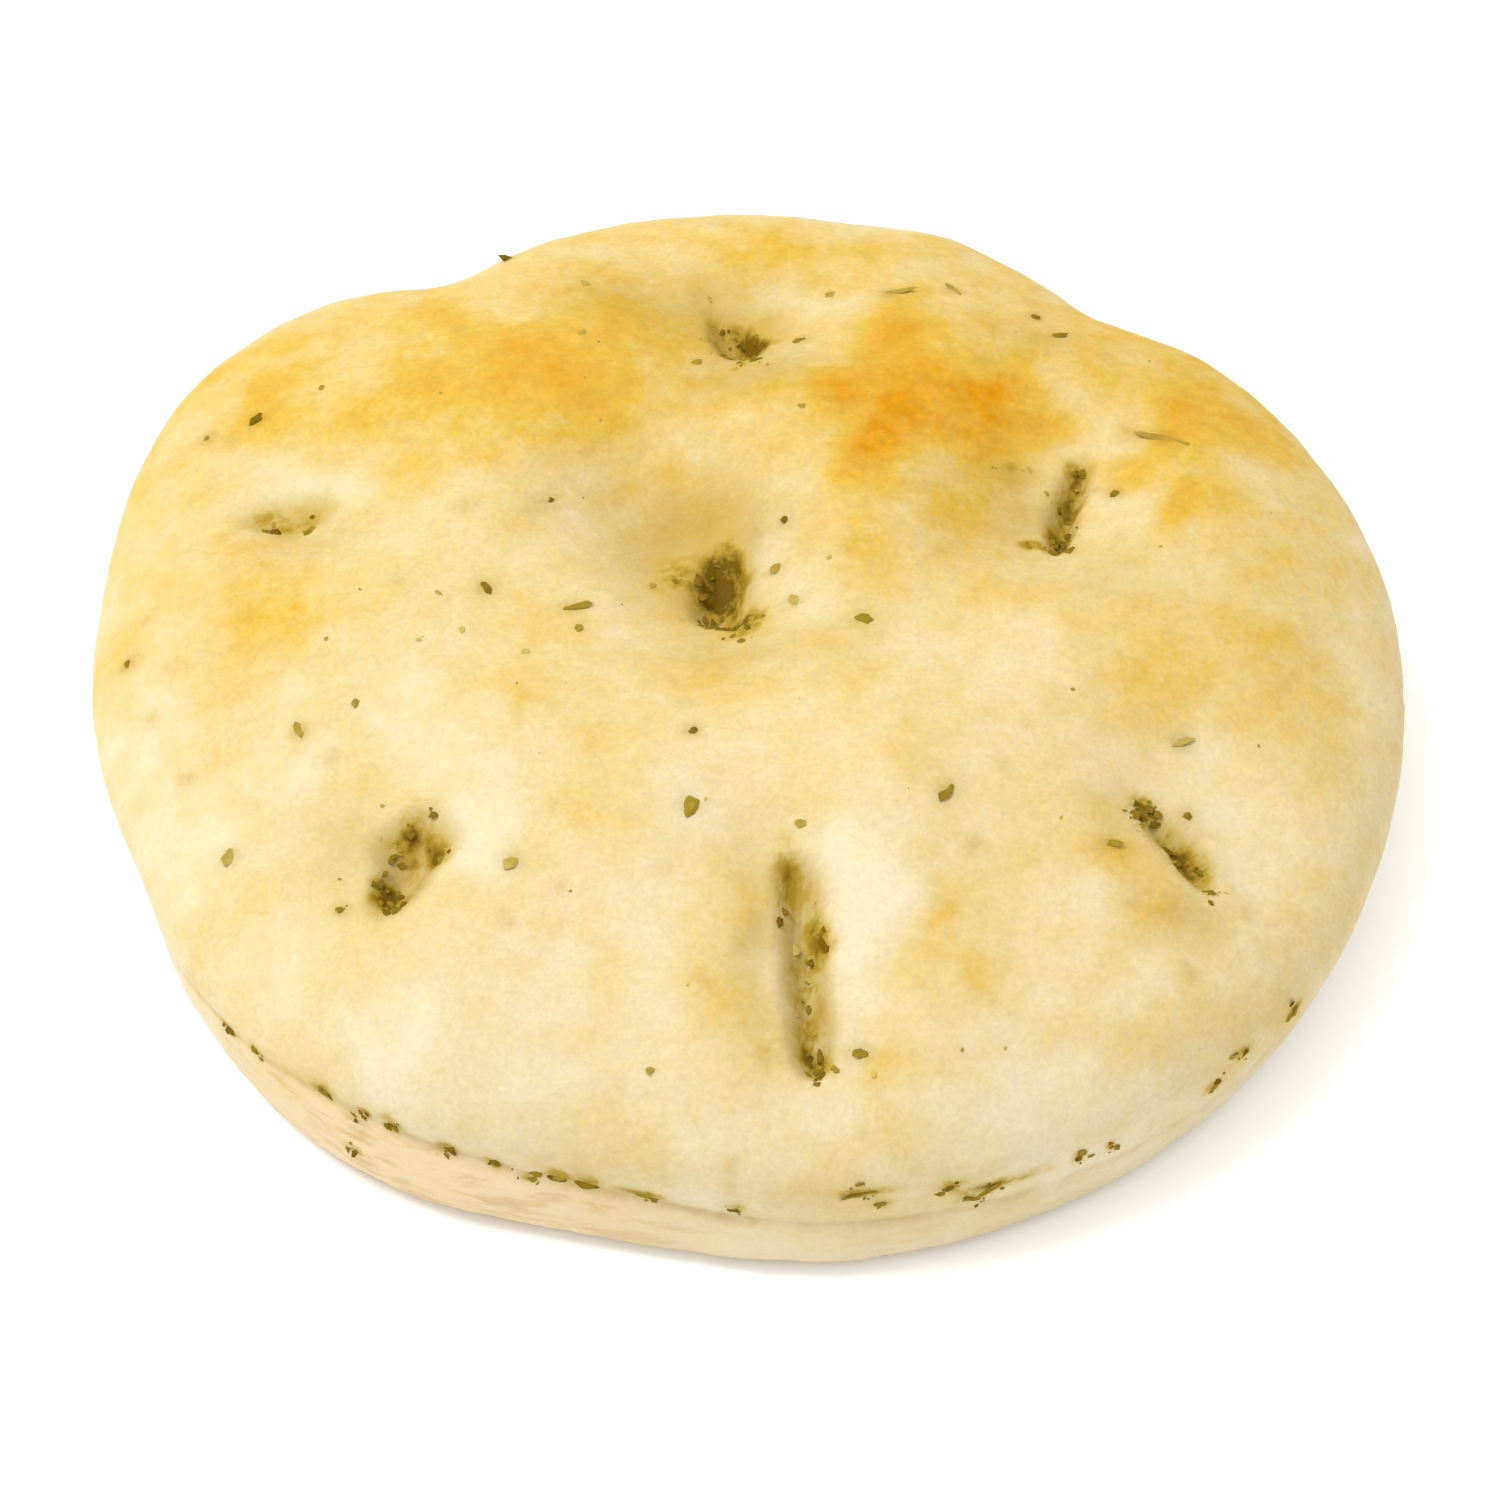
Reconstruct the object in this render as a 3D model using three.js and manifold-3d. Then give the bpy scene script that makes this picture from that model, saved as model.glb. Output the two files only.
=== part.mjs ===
// Round focaccia: a low domed loaf pressed with seven finger dimples, with a crease above its foot
// and dried rosemary stuck to its crust. Millimetres, +Z up; the loaf lies on its flat underside,
// its origin is the middle of that face, and its front is at -Y.
import * as THREE from "three";
import { mergeVertices } from "three/addons/utils/BufferGeometryUtils.js";
import Module from "manifold-3d";

const wasm = await Module();
wasm.setup();

// Driving dimensions of the loaf.
const LOAF_RADIUS = 76;
const LOAF_HEIGHT = 33;
const WAIST_HEIGHT = 13.5;
const BASE_TUCK = 5;
const CROWN_FLATNESS = 2.4;
const SHOULDER_ROUNDNESS = 1.9;

// The outline swells into lobes and draws in at notches: in which direction, how wide, how far out.
const OUTLINE_LOBES = [
  { name: "left shoulder", atDeg: 143, halfDeg: 22, out: 6.9 },
  { name: "left notch", atDeg: 120, halfDeg: 8, out: -3.8 },
  { name: "back", atDeg: 92, halfDeg: 20, out: 1.6 },
  { name: "right back", atDeg: 70, halfDeg: 6, out: 1.5 },
  { name: "right notch", atDeg: 51, halfDeg: 7.5, out: -3.1 },
  { name: "right shoulder", atDeg: 19, halfDeg: 34, out: 3.8 },
  { name: "left flat", atDeg: 201, halfDeg: 11, out: -1.7 },
  { name: "left front", atDeg: 231, halfDeg: 14, out: 0.8 },
  { name: "front", atDeg: 259, halfDeg: 16, out: -3.1 },
  { name: "right front", atDeg: 319, halfDeg: 30, out: 3.1 },
];

// The crease is strongest at the front and fades round the back. The dome stands back on a shelf above
// it, a shallow groove marks it, and the foot below it tucks in at the table.
const CREASE = { level: 8.8, rise: 5.6, strongestDeg: 262, halfDeg: 46, least: 0.05 };
const SHELF = { depth: 0.9, rounding: 5 };
const GROOVE = { depth: 0.3, half: 0.8 };
const FOOT = { tuck: 1.2, half: 1.6 };

// The dough's edge is lifted at the left front, which raises the crease and the waist there.
const LIFT = { atDeg: 232, halfDeg: 22, waistRise: 2.4 };

// Finger dimples: a wide soft hollow round a steep pit. turnDeg is the direction of the pit's length,
// bluntness squares its ends, skew brings its rim nearer in the direction steepDeg, and cornerDeg is
// one of its three rounded corners. hollow and sink are the half width and depth of the hollow, leanX
// and leanY shift it off the pit. flakes is how much rosemary the pit holds, with a clump of it towards
// clumpDeg.
const DIMPLES = [
  { name: "middle", x: -0.9, y: -1, turnDeg: 100, length: 15, width: 6.8, depth: 5.6, bluntness: 2,
    steepDeg: -40, skew: 0.45, cornerDeg: 75, hollow: 16, sink: 6.5, leanX: -7, leanY: 9,
    clumpDeg: -62, flakes: 16 },
  { name: "back", x: 0.8, y: 42.2, turnDeg: 112, length: 12, width: 6, depth: 4.2, bluntness: 2,
    steepDeg: -75, skew: 0.4, cornerDeg: 112, hollow: 12, sink: 4.6, leanX: -4, leanY: 8,
    clumpDeg: -80, flakes: 12 },
  { name: "left", x: -52.8, y: 14.6, turnDeg: -8, length: 10, width: 7, depth: 1.8, bluntness: 2,
    steepDeg: -85, skew: 0.25, cornerDeg: 30, hollow: 11, sink: 3.4, leanX: 3, leanY: 4,
    clumpDeg: -100, flakes: 5 },
  { name: "right back", x: 39.5, y: 15.4, turnDeg: 77, length: 18, width: 4, depth: 3.8, bluntness: 3,
    steepDeg: -15, skew: 0.4, cornerDeg: 77, hollow: 12, sink: 4.8, leanX: -5, leanY: 3,
    clumpDeg: -115, flakes: 12 },
  { name: "right", x: 49.4, y: -34.7, turnDeg: -52, length: 13.6, width: 3.8, depth: 2.8, bluntness: 3,
    steepDeg: -142, skew: 0.45, cornerDeg: 128, hollow: 11, sink: 3.8, leanX: 5, leanY: 5,
    clumpDeg: 128, flakes: 12 },
  { name: "left front", x: -35.9, y: -37.6, turnDeg: 68, length: 14.5, width: 8.6, depth: 4.4, bluntness: 2,
    steepDeg: -45, skew: 0.05, cornerDeg: 13, hollow: 11, sink: 3.4, leanX: -2, leanY: 3,
    clumpDeg: 235, flakes: 12 },
  { name: "front", x: 7.8, y: -51.2, turnDeg: -85, length: 26, width: 5.4, depth: 3.6, bluntness: 8,
    steepDeg: 8, skew: 0.1, cornerDeg: 8, hollow: 10, sink: 3, leanX: -0.5, leanY: 1,
    clumpDeg: -85, flakes: 8 },
];

// The pits' walls: steepness 1 makes a plain slope and 2 a bowl. The corners are shares of the pit's
// reach that the three main corners and five lesser ones add, less in a long pit.
const PIT_STEEPNESS = 1.4;
const PIT_CORNERS = 0.24;
const PIT_RAGGED = 0.08;

// Slow waves of the risen dough, longest first, each turned by the golden angle.
const WAVES = { count: 6, longest: 46, shrink: 0.86, height: 0.45, turnDeg: 137.5 };

// Dried rosemary: broken bits in the pits, half of them in each pit's clump and the rest over a share
// of its length and width; then the pieces that stand out, each with its place, length, width and turn;
// and the pieces that stick to the side, by direction, height above the crease, size and tilt.
const FLAKE = { seed: 41, thick: 0.9, sunk: 0.55, shortest: 1.2, longest: 2.4, slimmest: 0.4, widest: 0.65 };
const CLUMP = { halfDeg: 60, from: 0.3, to: 1 };
const PIT_SPREAD = 0.9;
const STANDOUTS = [
  { x: -58, y: 32.5, length: 2.9, width: 1.5, turnDeg: 42 },
  { x: -29, y: -0.5, length: 2.7, width: 1.2, turnDeg: -53 },
  { x: -19, y: -3, length: 5.4, width: 1.1, turnDeg: 16 },
  { x: 14.5, y: -6.5, length: 2.9, width: 1.6, turnDeg: 0 },
  { x: 7, y: -3.2, length: 2.6, width: 1.4, turnDeg: -60 },
  { x: 27, y: 53.5, length: 3.4, width: 1.1, turnDeg: -57 },
  { x: 19, y: 51, length: 7.2, width: 0.8, turnDeg: 17 },
  { x: 39.5, y: 46, length: 3.4, width: 1.1, turnDeg: 25 },
  { x: -29, y: 65, length: 3.4, width: 1.1, turnDeg: -25 },
  { x: 51.5, y: 27, length: 7.9, width: 0.9, turnDeg: -19 },
  { x: 23.5, y: -31.5, length: 3.5, width: 1.6, turnDeg: 66 },
  { x: -5, y: -33, length: 3.6, width: 2, turnDeg: 74 },
  { x: -24.5, y: -39.5, length: 3.1, width: 1.6, turnDeg: 57 },
  { x: -56.5, y: -34.5, length: 3.1, width: 1.6, turnDeg: 62 },
  { x: 41.5, y: -36, length: 3.5, width: 0.9, turnDeg: 0 },
  { x: -49.5, y: -19, length: 2.9, width: 1.1, turnDeg: -66 },
  { x: 50.5, y: -20, length: 4, width: 1.2, turnDeg: 13 },
  { x: -22.2, y: 15.1, length: 1.6, width: 1.2, turnDeg: 20 },
  { x: 5.9, y: 10.3, length: 1.5, width: 1.1, turnDeg: 0 },
  { x: 4.9, y: 3, length: 2.2, width: 1.6, turnDeg: 30 },
  { x: 37, y: 50.4, length: 1.9, width: 1.3, turnDeg: -30 },
  { x: 45.1, y: 17.7, length: 1.5, width: 1.2, turnDeg: 40 },
  { x: 42, y: 23.6, length: 2, width: 1.3, turnDeg: -20 },
  { x: -4.8, y: -22.5, length: 1.6, width: 1.2, turnDeg: 60 },
  { x: 48.4, y: -32.9, length: 2.2, width: 1.6, turnDeg: -50 },
  { x: 50.8, y: -29.5, length: 1.5, width: 1.2, turnDeg: 0 },
  { x: -36.1, y: -33.3, length: 1.8, width: 1.2, turnDeg: 80 },
  { x: -43.4, y: -43.6, length: 1.7, width: 1.1, turnDeg: 15 },
  { x: 4.8, y: -46.4, length: 1.7, width: 1.3, turnDeg: 90 },
  { x: 9.9, y: -49.3, length: 2.4, width: 1.4, turnDeg: -60 },
  { x: 13.7, y: -61.8, length: 2.2, width: 1.3, turnDeg: 10 },
  { x: 8, y: 41.7, length: 2.4, width: 1, turnDeg: 5 },
  { x: -64.1, y: 31.1, length: 1.7, width: 1, turnDeg: 30 },
  { x: -71, y: -3.7, length: 1.5, width: 1, turnDeg: 60 },
];
const SIDE_BITS = [
  { atDeg: 222, above: -0.5, length: 2.9, width: 0.9, tiltDeg: 75 },
  { atDeg: 226, above: 0, length: 1.4, width: 0.8, tiltDeg: 0 },
  { atDeg: 233.5, above: 0.3, length: 2.4, width: 1.6, tiltDeg: -25 },
  { atDeg: 236.5, above: -7, length: 2.4, width: 0.8, tiltDeg: 75 },
  { atDeg: 237.5, above: 0.5, length: 1.5, width: 0.7, tiltDeg: -20 },
  { atDeg: 240, above: 0.3, length: 2, width: 1.5, tiltDeg: -50 },
  { atDeg: 245, above: 0, length: 2.4, width: 1.1, tiltDeg: -15 },
  { atDeg: 249, above: 0, length: 1.8, width: 1.1, tiltDeg: 0 },
  { atDeg: 252, above: -0.8, length: 2, width: 0.7, tiltDeg: 0 },
  { atDeg: 254.5, above: 0, length: 3.4, width: 1.6, tiltDeg: 0 },
  { atDeg: 257, above: 0.5, length: 2.9, width: 1.9, tiltDeg: 10 },
  { atDeg: 262, above: 0.8, length: 4.4, width: 0.7, tiltDeg: -10 },
  { atDeg: 270, above: 1.5, length: 1.8, width: 0.7, tiltDeg: 0 },
  { atDeg: 280.5, above: 5.5, length: 5, width: 0.6, tiltDeg: 8 },
  { atDeg: 282, above: 3.5, length: 1.9, width: 0.9, tiltDeg: 0 },
  { atDeg: 288, above: 4.5, length: 2.4, width: 1, tiltDeg: 0 },
  { atDeg: 290, above: 1.5, length: 3, width: 0.8, tiltDeg: -25 },
  { atDeg: 292, above: 3.5, length: 7.5, width: 0.8, tiltDeg: 4 },
  { atDeg: 299, above: 3.5, length: 1.2, width: 1, tiltDeg: 0 },
  { atDeg: 302, above: 3, length: 1.1, width: 0.8, tiltDeg: 0 },
  { atDeg: 312, above: 3.5, length: 2.2, width: 0.9, tiltDeg: 25 },
  { atDeg: 315.5, above: 5.5, length: 2, width: 0.7, tiltDeg: 30 },
  { atDeg: 322, above: 4.5, length: 2.6, width: 0.7, tiltDeg: 25 },
];

// How finely the loaf, the pits and the rosemary are faceted. The side's rings lie from 0 at the table
// through 1 at the crease towards 2 at the waist.
const SECTORS = 96;
const DOME_STEPS = 20;
const SIDE_RINGS = [0, 0.12, 0.4, 0.7, 0.9, 1, 1.2, 1.6];
const PIT_SECTORS = 14;
const PIT_STEPS = 5;
const PIT_TOP = 1.7;
const FLAKE_SIDES = 4;

// Stands a shape that was turned round Y up on Z, exactly.
const UPRIGHT = new THREE.Matrix4().set(1, 0, 0, 0, 0, 0, -1, 0, 0, 1, 0, 0, 0, 0, 0, 1);

const radians = THREE.MathUtils.degToRad;
const degrees = THREE.MathUtils.radToDeg;

// Smallest turn between two directions, in degrees.
function degreesApart(a, b) {
  return Math.abs(((((a - b + 180) % 360) + 360) % 360) - 180);
}

// A bump of height 1 that falls to 1/e at its half width.
function bump(distance, halfWidth) {
  return Math.exp(-((distance / halfWidth) ** 2));
}

// A repeatable stream of numbers from 0 to 1.
function seededNumbers(seed) {
  let state = seed;
  return () => {
    state = (state * 16807) % 2147483647;
    return state / 2147483647;
  };
}

// Radius of the widest part of the loaf in a direction.
function outlineRadius(angleDeg) {
  const outs = OUTLINE_LOBES.map((lobe) => lobe.out * bump(degreesApart(angleDeg, lobe.atDeg), lobe.halfDeg));
  return outs.reduce((sum, out) => sum + out, LOAF_RADIUS);
}

// How strong the crease is in a direction, from 0 to 1.
function creaseStrength(angleDeg) {
  const near = bump(degreesApart(angleDeg, CREASE.strongestDeg), CREASE.halfDeg);
  return CREASE.least + (1 - CREASE.least) * near;
}

// How far the dough's edge is lifted in a direction, from 0 to 1.
function lifted(angleDeg) {
  return bump(degreesApart(angleDeg, LIFT.atDeg), LIFT.halfDeg);
}

// Height of the crease above the table in a direction.
function creaseHeight(angleDeg) {
  return CREASE.level + CREASE.rise * lifted(angleDeg);
}

// Height where the dome starts in a direction.
function waistHeight(angleDeg) {
  return WAIST_HEIGHT + LIFT.waistRise * lifted(angleDeg);
}

// Radius of the dome in a direction, which leaves a shelf where the side is creased.
function domeRadius(angleDeg) {
  return outlineRadius(angleDeg) - SHELF.depth * creaseStrength(angleDeg);
}

// Slow unevenness of the risen dough at a place in plan.
function waveHeight(x, y) {
  let height = 0;
  for (let i = 0; i < WAVES.count; i++) {
    const shrink = WAVES.shrink ** i;
    const turn = radians(WAVES.turnDeg * i);
    const along = x * Math.cos(turn) + y * Math.sin(turn);
    height += WAVES.height * shrink * Math.sin((2 * Math.PI * along) / (WAVES.longest * shrink) + i);
  }
  return height;
}

// How far a place lies from the middle line of a dimple's hollow.
function distanceToHollow(dimple, x, y) {
  const turn = radians(dimple.turnDeg);
  const dx = x - dimple.x - dimple.leanX;
  const dy = y - dimple.y - dimple.leanY;
  const along = dx * Math.cos(turn) + dy * Math.sin(turn);
  const across = dy * Math.cos(turn) - dx * Math.sin(turn);
  const pastEnd = Math.max(Math.abs(along) - Math.max(dimple.length - dimple.width, 0) / 2, 0);
  return Math.hypot(across, pastEnd);
}

// How far the dough sinks round all the dimples at a place in plan.
function hollowDepth(x, y) {
  const sinks = DIMPLES.map((dimple) => dimple.sink * bump(distanceToHollow(dimple, x, y), dimple.hollow));
  return sinks.reduce((sum, sink) => sum + sink, 0);
}

// Height of the crust at a place in plan, before the pits are pressed in.
function crustHeight(x, y) {
  const angleDeg = degrees(Math.atan2(y, x));
  const waist = waistHeight(angleDeg);
  const share = Math.min(Math.hypot(x, y) / domeRadius(angleDeg), 1);
  const rise = (1 - share ** CROWN_FLATNESS) ** (1 / SHOULDER_ROUNDNESS);
  return waist + (LOAF_HEIGHT - waist + waveHeight(x, y) - hollowDepth(x, y)) * rise;
}

// How far in the side stands from the outline at a height: with shelf, groove and tucked foot where the
// crease is strong, and plainly rounded where it has faded.
function sideInset(height, angleDeg) {
  const aboveCrease = height - creaseHeight(angleDeg);
  const plain = BASE_TUCK * (1 - height / waistHeight(angleDeg)) ** 2;
  const shelf = SHELF.depth * THREE.MathUtils.smoothstep(aboveCrease, -SHELF.rounding, 0);
  const groove = GROOVE.depth * bump(aboveCrease, GROOVE.half);
  const foot = FOOT.tuck * bump(height, FOOT.half);
  return THREE.MathUtils.lerp(plain, shelf + groove + foot, creaseStrength(angleDeg));
}

// Height of one of the side's rings, from 0 at the table through 1 at the crease to 2 at the waist.
function sideHeight(ring, angleDeg) {
  const crease = creaseHeight(angleDeg);
  return crease * Math.min(ring, 1) + (waistHeight(angleDeg) - crease) * Math.max(ring - 1, 0);
}

// Section of a plain round loaf from the base centre out. The side is upright, with each ring at its
// own number as a height below 0, and the dome's heights are shares of its rise.
function loafSection() {
  const points = [new THREE.Vector2(0, -SIDE_RINGS.length)];
  for (const ring of SIDE_RINGS) {
    points.push(new THREE.Vector2(LOAF_RADIUS, ring - SIDE_RINGS.length));
  }
  for (let i = 0; i < DOME_STEPS; i++) {
    const turn = (Math.PI / 2) * (1 - i / DOME_STEPS);
    points.push(new THREE.Vector2(LOAF_RADIUS * Math.sin(turn) ** (2 / CROWN_FLATNESS), Math.cos(turn)));
  }
  points.push(new THREE.Vector2(0, 1));
  return points;
}

// Moves one point of the plain round loaf to where the uneven loaf has it.
function settle(point) {
  const angle = Math.atan2(point.y, point.x);
  const angleDeg = degrees(angle);
  const share = Math.hypot(point.x, point.y) / LOAF_RADIUS;
  let reach = share * domeRadius(angleDeg);
  if (point.z < 0) {
    point.z = sideHeight(point.z + SIDE_RINGS.length, angleDeg);
    reach = share * (outlineRadius(angleDeg) - sideInset(point.z, angleDeg));
  } else {
    point.z = crustHeight(reach * Math.cos(angle), reach * Math.sin(angle));
  }
  point.x = reach * Math.cos(angle);
  point.y = reach * Math.sin(angle);
}

// A geometry's bare points and triangles, with the points that share a place merged.
function welded(geometry) {
  const bare = geometry.clone();
  bare.deleteAttribute("normal");
  bare.deleteAttribute("uv");
  return mergeVertices(bare, 1e-4);
}

// A closed solid from a welded geometry.
function solidOf(geometry) {
  const vertProperties = new Float32Array(geometry.attributes.position.array);
  const triVerts = new Uint32Array(geometry.index.array);
  return new wasm.Manifold(new wasm.Mesh({ numProp: 3, vertProperties, triVerts }));
}

// The vertices and triangles of a solid as a three.js geometry.
function geometryOf(solid) {
  const mesh = solid.getMesh();
  const geometry = new THREE.BufferGeometry();
  geometry.setAttribute("position", new THREE.BufferAttribute(mesh.vertProperties, 3));
  geometry.setIndex(new THREE.BufferAttribute(mesh.triVerts, 1));
  geometry.computeVertexNormals();
  return geometry;
}

// The loaf turned on its section and settled to its own outline, hollows and crease.
function loafBody() {
  const geometry = welded(new THREE.LatheGeometry(loafSection(), SECTORS).applyMatrix4(UPRIGHT));
  const position = geometry.attributes.position;
  const point = new THREE.Vector3();
  for (let i = 0; i < position.count; i++) {
    settle(point.fromBufferAttribute(position, i));
    position.setXYZ(i, point.x, point.y, point.z);
  }
  return solidOf(geometry);
}

// How far a pit's rim is moved out in a direction, as a share: in on its steep side, out at its corners.
function pitStretch(dimple, angle) {
  const corner = angle - radians(dimple.cornerDeg);
  const corners = PIT_CORNERS * Math.cos(3 * corner) + PIT_RAGGED * Math.cos(5 * corner);
  const steep = dimple.skew * Math.cos(angle - radians(dimple.steepDeg));
  return (1 - steep) * (1 + (corners * dimple.width) / dimple.length);
}

// The place in plan on a pit's wall: how far round from the pit's length, and how far up the wall from
// 0 at the deepest point to 1 on the rim.
function pitPlace(dimple, turn, level) {
  const ends = (level * Math.cos(turn) ** 2) ** (1 / dimple.bluntness);
  const walls = (level * Math.sin(turn) ** 2) ** (1 / PIT_STEEPNESS);
  const along = (dimple.length / 2) * ends * Math.sign(Math.cos(turn));
  const across = (dimple.width / 2) * walls * Math.sign(Math.sin(turn));
  const spot = new THREE.Vector2(along, across).rotateAround(new THREE.Vector2(), radians(dimple.turnDeg));
  spot.multiplyScalar(pitStretch(dimple, Math.atan2(spot.y, spot.x)));
  return spot.add(new THREE.Vector2(dimple.x, dimple.y));
}

// The space that a fingertip leaves in a dimple, open upwards. Its floor follows the crust.
function fingerPit(dimple) {
  const points = [];
  for (let i = 0; i <= PIT_STEPS; i++) {
    points.push(new THREE.Vector2(i / PIT_STEPS, 0));
  }
  points.push(new THREE.Vector2(0, 1));
  const geometry = welded(new THREE.LatheGeometry(points, PIT_SECTORS).applyMatrix4(UPRIGHT));
  const position = geometry.attributes.position;
  for (let i = 0; i < position.count; i++) {
    const reach = Math.hypot(position.getX(i), position.getY(i));
    const level = PIT_TOP * reach ** PIT_STEEPNESS;
    const spot = pitPlace(dimple, Math.atan2(position.getY(i), position.getX(i)), level);
    const lift = position.getZ(i) > 0 ? PIT_TOP : level;
    position.setXYZ(i, spot.x, spot.y, crustHeight(spot.x, spot.y) + dimple.depth * (lift - 1));
  }
  return solidOf(geometry);
}

// A flat lozenge-shaped blade of rosemary lying on the crust at a hit point, along a heading.
function rosemaryBlade(hit, length, width, heading) {
  const up = hit.face.normal.clone().normalize();
  const side = new THREE.Vector3().crossVectors(up, heading).normalize();
  const along = new THREE.Vector3().crossVectors(side, up);
  const centre = hit.point.clone().addScaledVector(up, FLAKE.thick * (0.5 - FLAKE.sunk));
  const geometry = new THREE.CylinderGeometry(1, 1, FLAKE.thick, FLAKE_SIDES).applyMatrix4(UPRIGHT);
  geometry.scale(length / 2, width / 2, 1);
  geometry.applyMatrix4(new THREE.Matrix4().makeBasis(along, side, up).setPosition(centre));
  return solidOf(welded(geometry));
}

// A ray down on a place in plan, with the heading of the bit that it lays.
function above(x, y, turnDeg) {
  const ray = new THREE.Ray(new THREE.Vector3(x, y, 2 * LOAF_HEIGHT), new THREE.Vector3(0, 0, -1));
  const heading = new THREE.Vector3(Math.cos(radians(turnDeg)), Math.sin(radians(turnDeg)), 0);
  return { ray, heading };
}

// A level ray in at the side, with the heading of the bit that it lays, which climbs at a tilt.
function beside(angleDeg, height, tiltDeg) {
  const out = new THREE.Vector3(Math.cos(radians(angleDeg)), Math.sin(radians(angleDeg)), 0);
  const origin = out.clone().multiplyScalar(2 * LOAF_RADIUS).setZ(height);
  const heading = new THREE.Vector3(-out.y, out.x, Math.tan(radians(tiltDeg)));
  return { ray: new THREE.Ray(origin, out.clone().negate()), heading };
}

// A place in a pit from two draws: in the pit's clump, or anywhere along and across it.
function spotInPit(dimple, clumped, first, second) {
  if (clumped) {
    const towardsDeg = dimple.clumpDeg - dimple.turnDeg + CLUMP.halfDeg * (2 * first - 1);
    return pitPlace(dimple, radians(towardsDeg), THREE.MathUtils.lerp(CLUMP.from, CLUMP.to, second));
  }
  const spot = new THREE.Vector2(dimple.length * (first - 0.5), dimple.width * (second - 0.5));
  spot.multiplyScalar(PIT_SPREAD).rotateAround(new THREE.Vector2(), radians(dimple.turnDeg));
  return spot.add(new THREE.Vector2(dimple.x, dimple.y));
}

// The rays on which the rosemary lies, each with a heading and a size, largest first.
function rosemaryPlaces() {
  const next = seededNumbers(FLAKE.seed);
  const places = STANDOUTS.map((piece) => ({ ...piece, ...above(piece.x, piece.y, piece.turnDeg) }));
  for (const bit of SIDE_BITS) {
    places.push({ ...bit, ...beside(bit.atDeg, creaseHeight(bit.atDeg) + bit.above, bit.tiltDeg) });
  }
  const scatter = (x, y) => {
    const length = THREE.MathUtils.lerp(FLAKE.shortest, FLAKE.longest, next());
    const width = length * THREE.MathUtils.lerp(FLAKE.slimmest, FLAKE.widest, next());
    places.push({ ...above(x, y, 360 * next()), length, width });
  };
  for (const dimple of DIMPLES) {
    for (let i = 0; i < dimple.flakes; i++) {
      const spot = spotInPit(dimple, i % 2 === 0, next(), next());
      scatter(spot.x, spot.y);
    }
  }
  return places.sort((a, b) => b.length - a.length);
}

// The loaf with its pits pressed in and its rosemary fused on. A hollow that a blade seals is filled,
// and a scrap that touches nothing is dropped, by keeping the one outer body.
function dressedLoaf() {
  let solid = DIMPLES.reduce((bread, dimple) => bread.subtract(fingerPit(dimple)), loafBody());
  const crust = new THREE.Mesh(geometryOf(solid));
  const caster = new THREE.Raycaster();
  for (const { ray, heading, length, width } of rosemaryPlaces()) {
    caster.ray.copy(ray);
    const [hit] = caster.intersectObject(crust);
    solid = solid.add(rosemaryBlade(hit, length, width, heading));
  }
  return solid.decompose().reduce((a, b) => (b.volume() > a.volume() ? b : a));
}

const crustMaterial = new THREE.MeshStandardMaterial({ color: 0xf2d596, roughness: 0.7, metalness: 0 });

// The loaf's box is centred on the origin, and its underside lies at height 0.
const loafGeometry = geometryOf(dressedLoaf());
loafGeometry.computeBoundingBox();
const middle = loafGeometry.boundingBox.getCenter(new THREE.Vector3());
loafGeometry.translate(-middle.x, -middle.y, 0);

const loaf = new THREE.Mesh(loafGeometry, crustMaterial);
loaf.name = "focaccia";

const focaccia = new THREE.Group();
focaccia.add(loaf);

export default focaccia;
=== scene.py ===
"""Dresses a round focaccia: the baked loaf, the dried rosemary on its crust, and a bright studio."""

import logging
import math
from dataclasses import dataclass
from enum import Enum
from typing import Any, Iterator

import bpy
import numpy as np
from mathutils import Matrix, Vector

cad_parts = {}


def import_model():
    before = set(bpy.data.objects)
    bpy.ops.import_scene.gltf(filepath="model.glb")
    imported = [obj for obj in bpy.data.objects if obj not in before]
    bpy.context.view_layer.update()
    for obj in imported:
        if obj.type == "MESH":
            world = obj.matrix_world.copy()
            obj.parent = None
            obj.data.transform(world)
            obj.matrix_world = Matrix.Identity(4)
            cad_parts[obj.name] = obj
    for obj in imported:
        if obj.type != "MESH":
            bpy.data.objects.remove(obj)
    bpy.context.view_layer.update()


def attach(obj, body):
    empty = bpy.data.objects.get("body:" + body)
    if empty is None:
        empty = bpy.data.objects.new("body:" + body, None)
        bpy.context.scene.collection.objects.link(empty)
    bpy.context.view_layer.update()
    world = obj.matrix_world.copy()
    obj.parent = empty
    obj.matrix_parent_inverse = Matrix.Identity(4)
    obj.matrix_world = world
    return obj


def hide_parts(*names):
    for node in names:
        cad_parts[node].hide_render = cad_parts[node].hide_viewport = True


LOG = logging.getLogger("focaccia")
MM = 0.001
LOAF_NODE = "focaccia"
BODY = "root"
PHOTO_SIDE = 1500
STREAM_STEP = 16807
STREAM_END = 2147483647
MOTTLING = "mottling"
MOTTLE_SCALES = ("Cloud Scale", "Fleck Scale", "Grain Scale")
WHITE = (1.0, 1.0, 1.0, 1.0)
Array = np.ndarray
Span = tuple[float, float]
Spot = tuple[float, float]
Triple = tuple[float, float, float]
Faces = list[tuple[int, ...]]
Thing = bpy.types.Object
Tree = bpy.types.NodeTree
Socket = bpy.types.NodeSocket


def bump(distance: Array, half_width: float) -> Array:
    """Gives a bump of height 1 that falls to 1/e at its half width."""
    return np.exp(-((distance / half_width) ** 2))


def degrees_apart(first: Array, second: float) -> Array:
    """Gives the smallest turn between two directions, in degrees."""
    return np.abs((first - second + 180.0) % 360.0 - 180.0)


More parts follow.
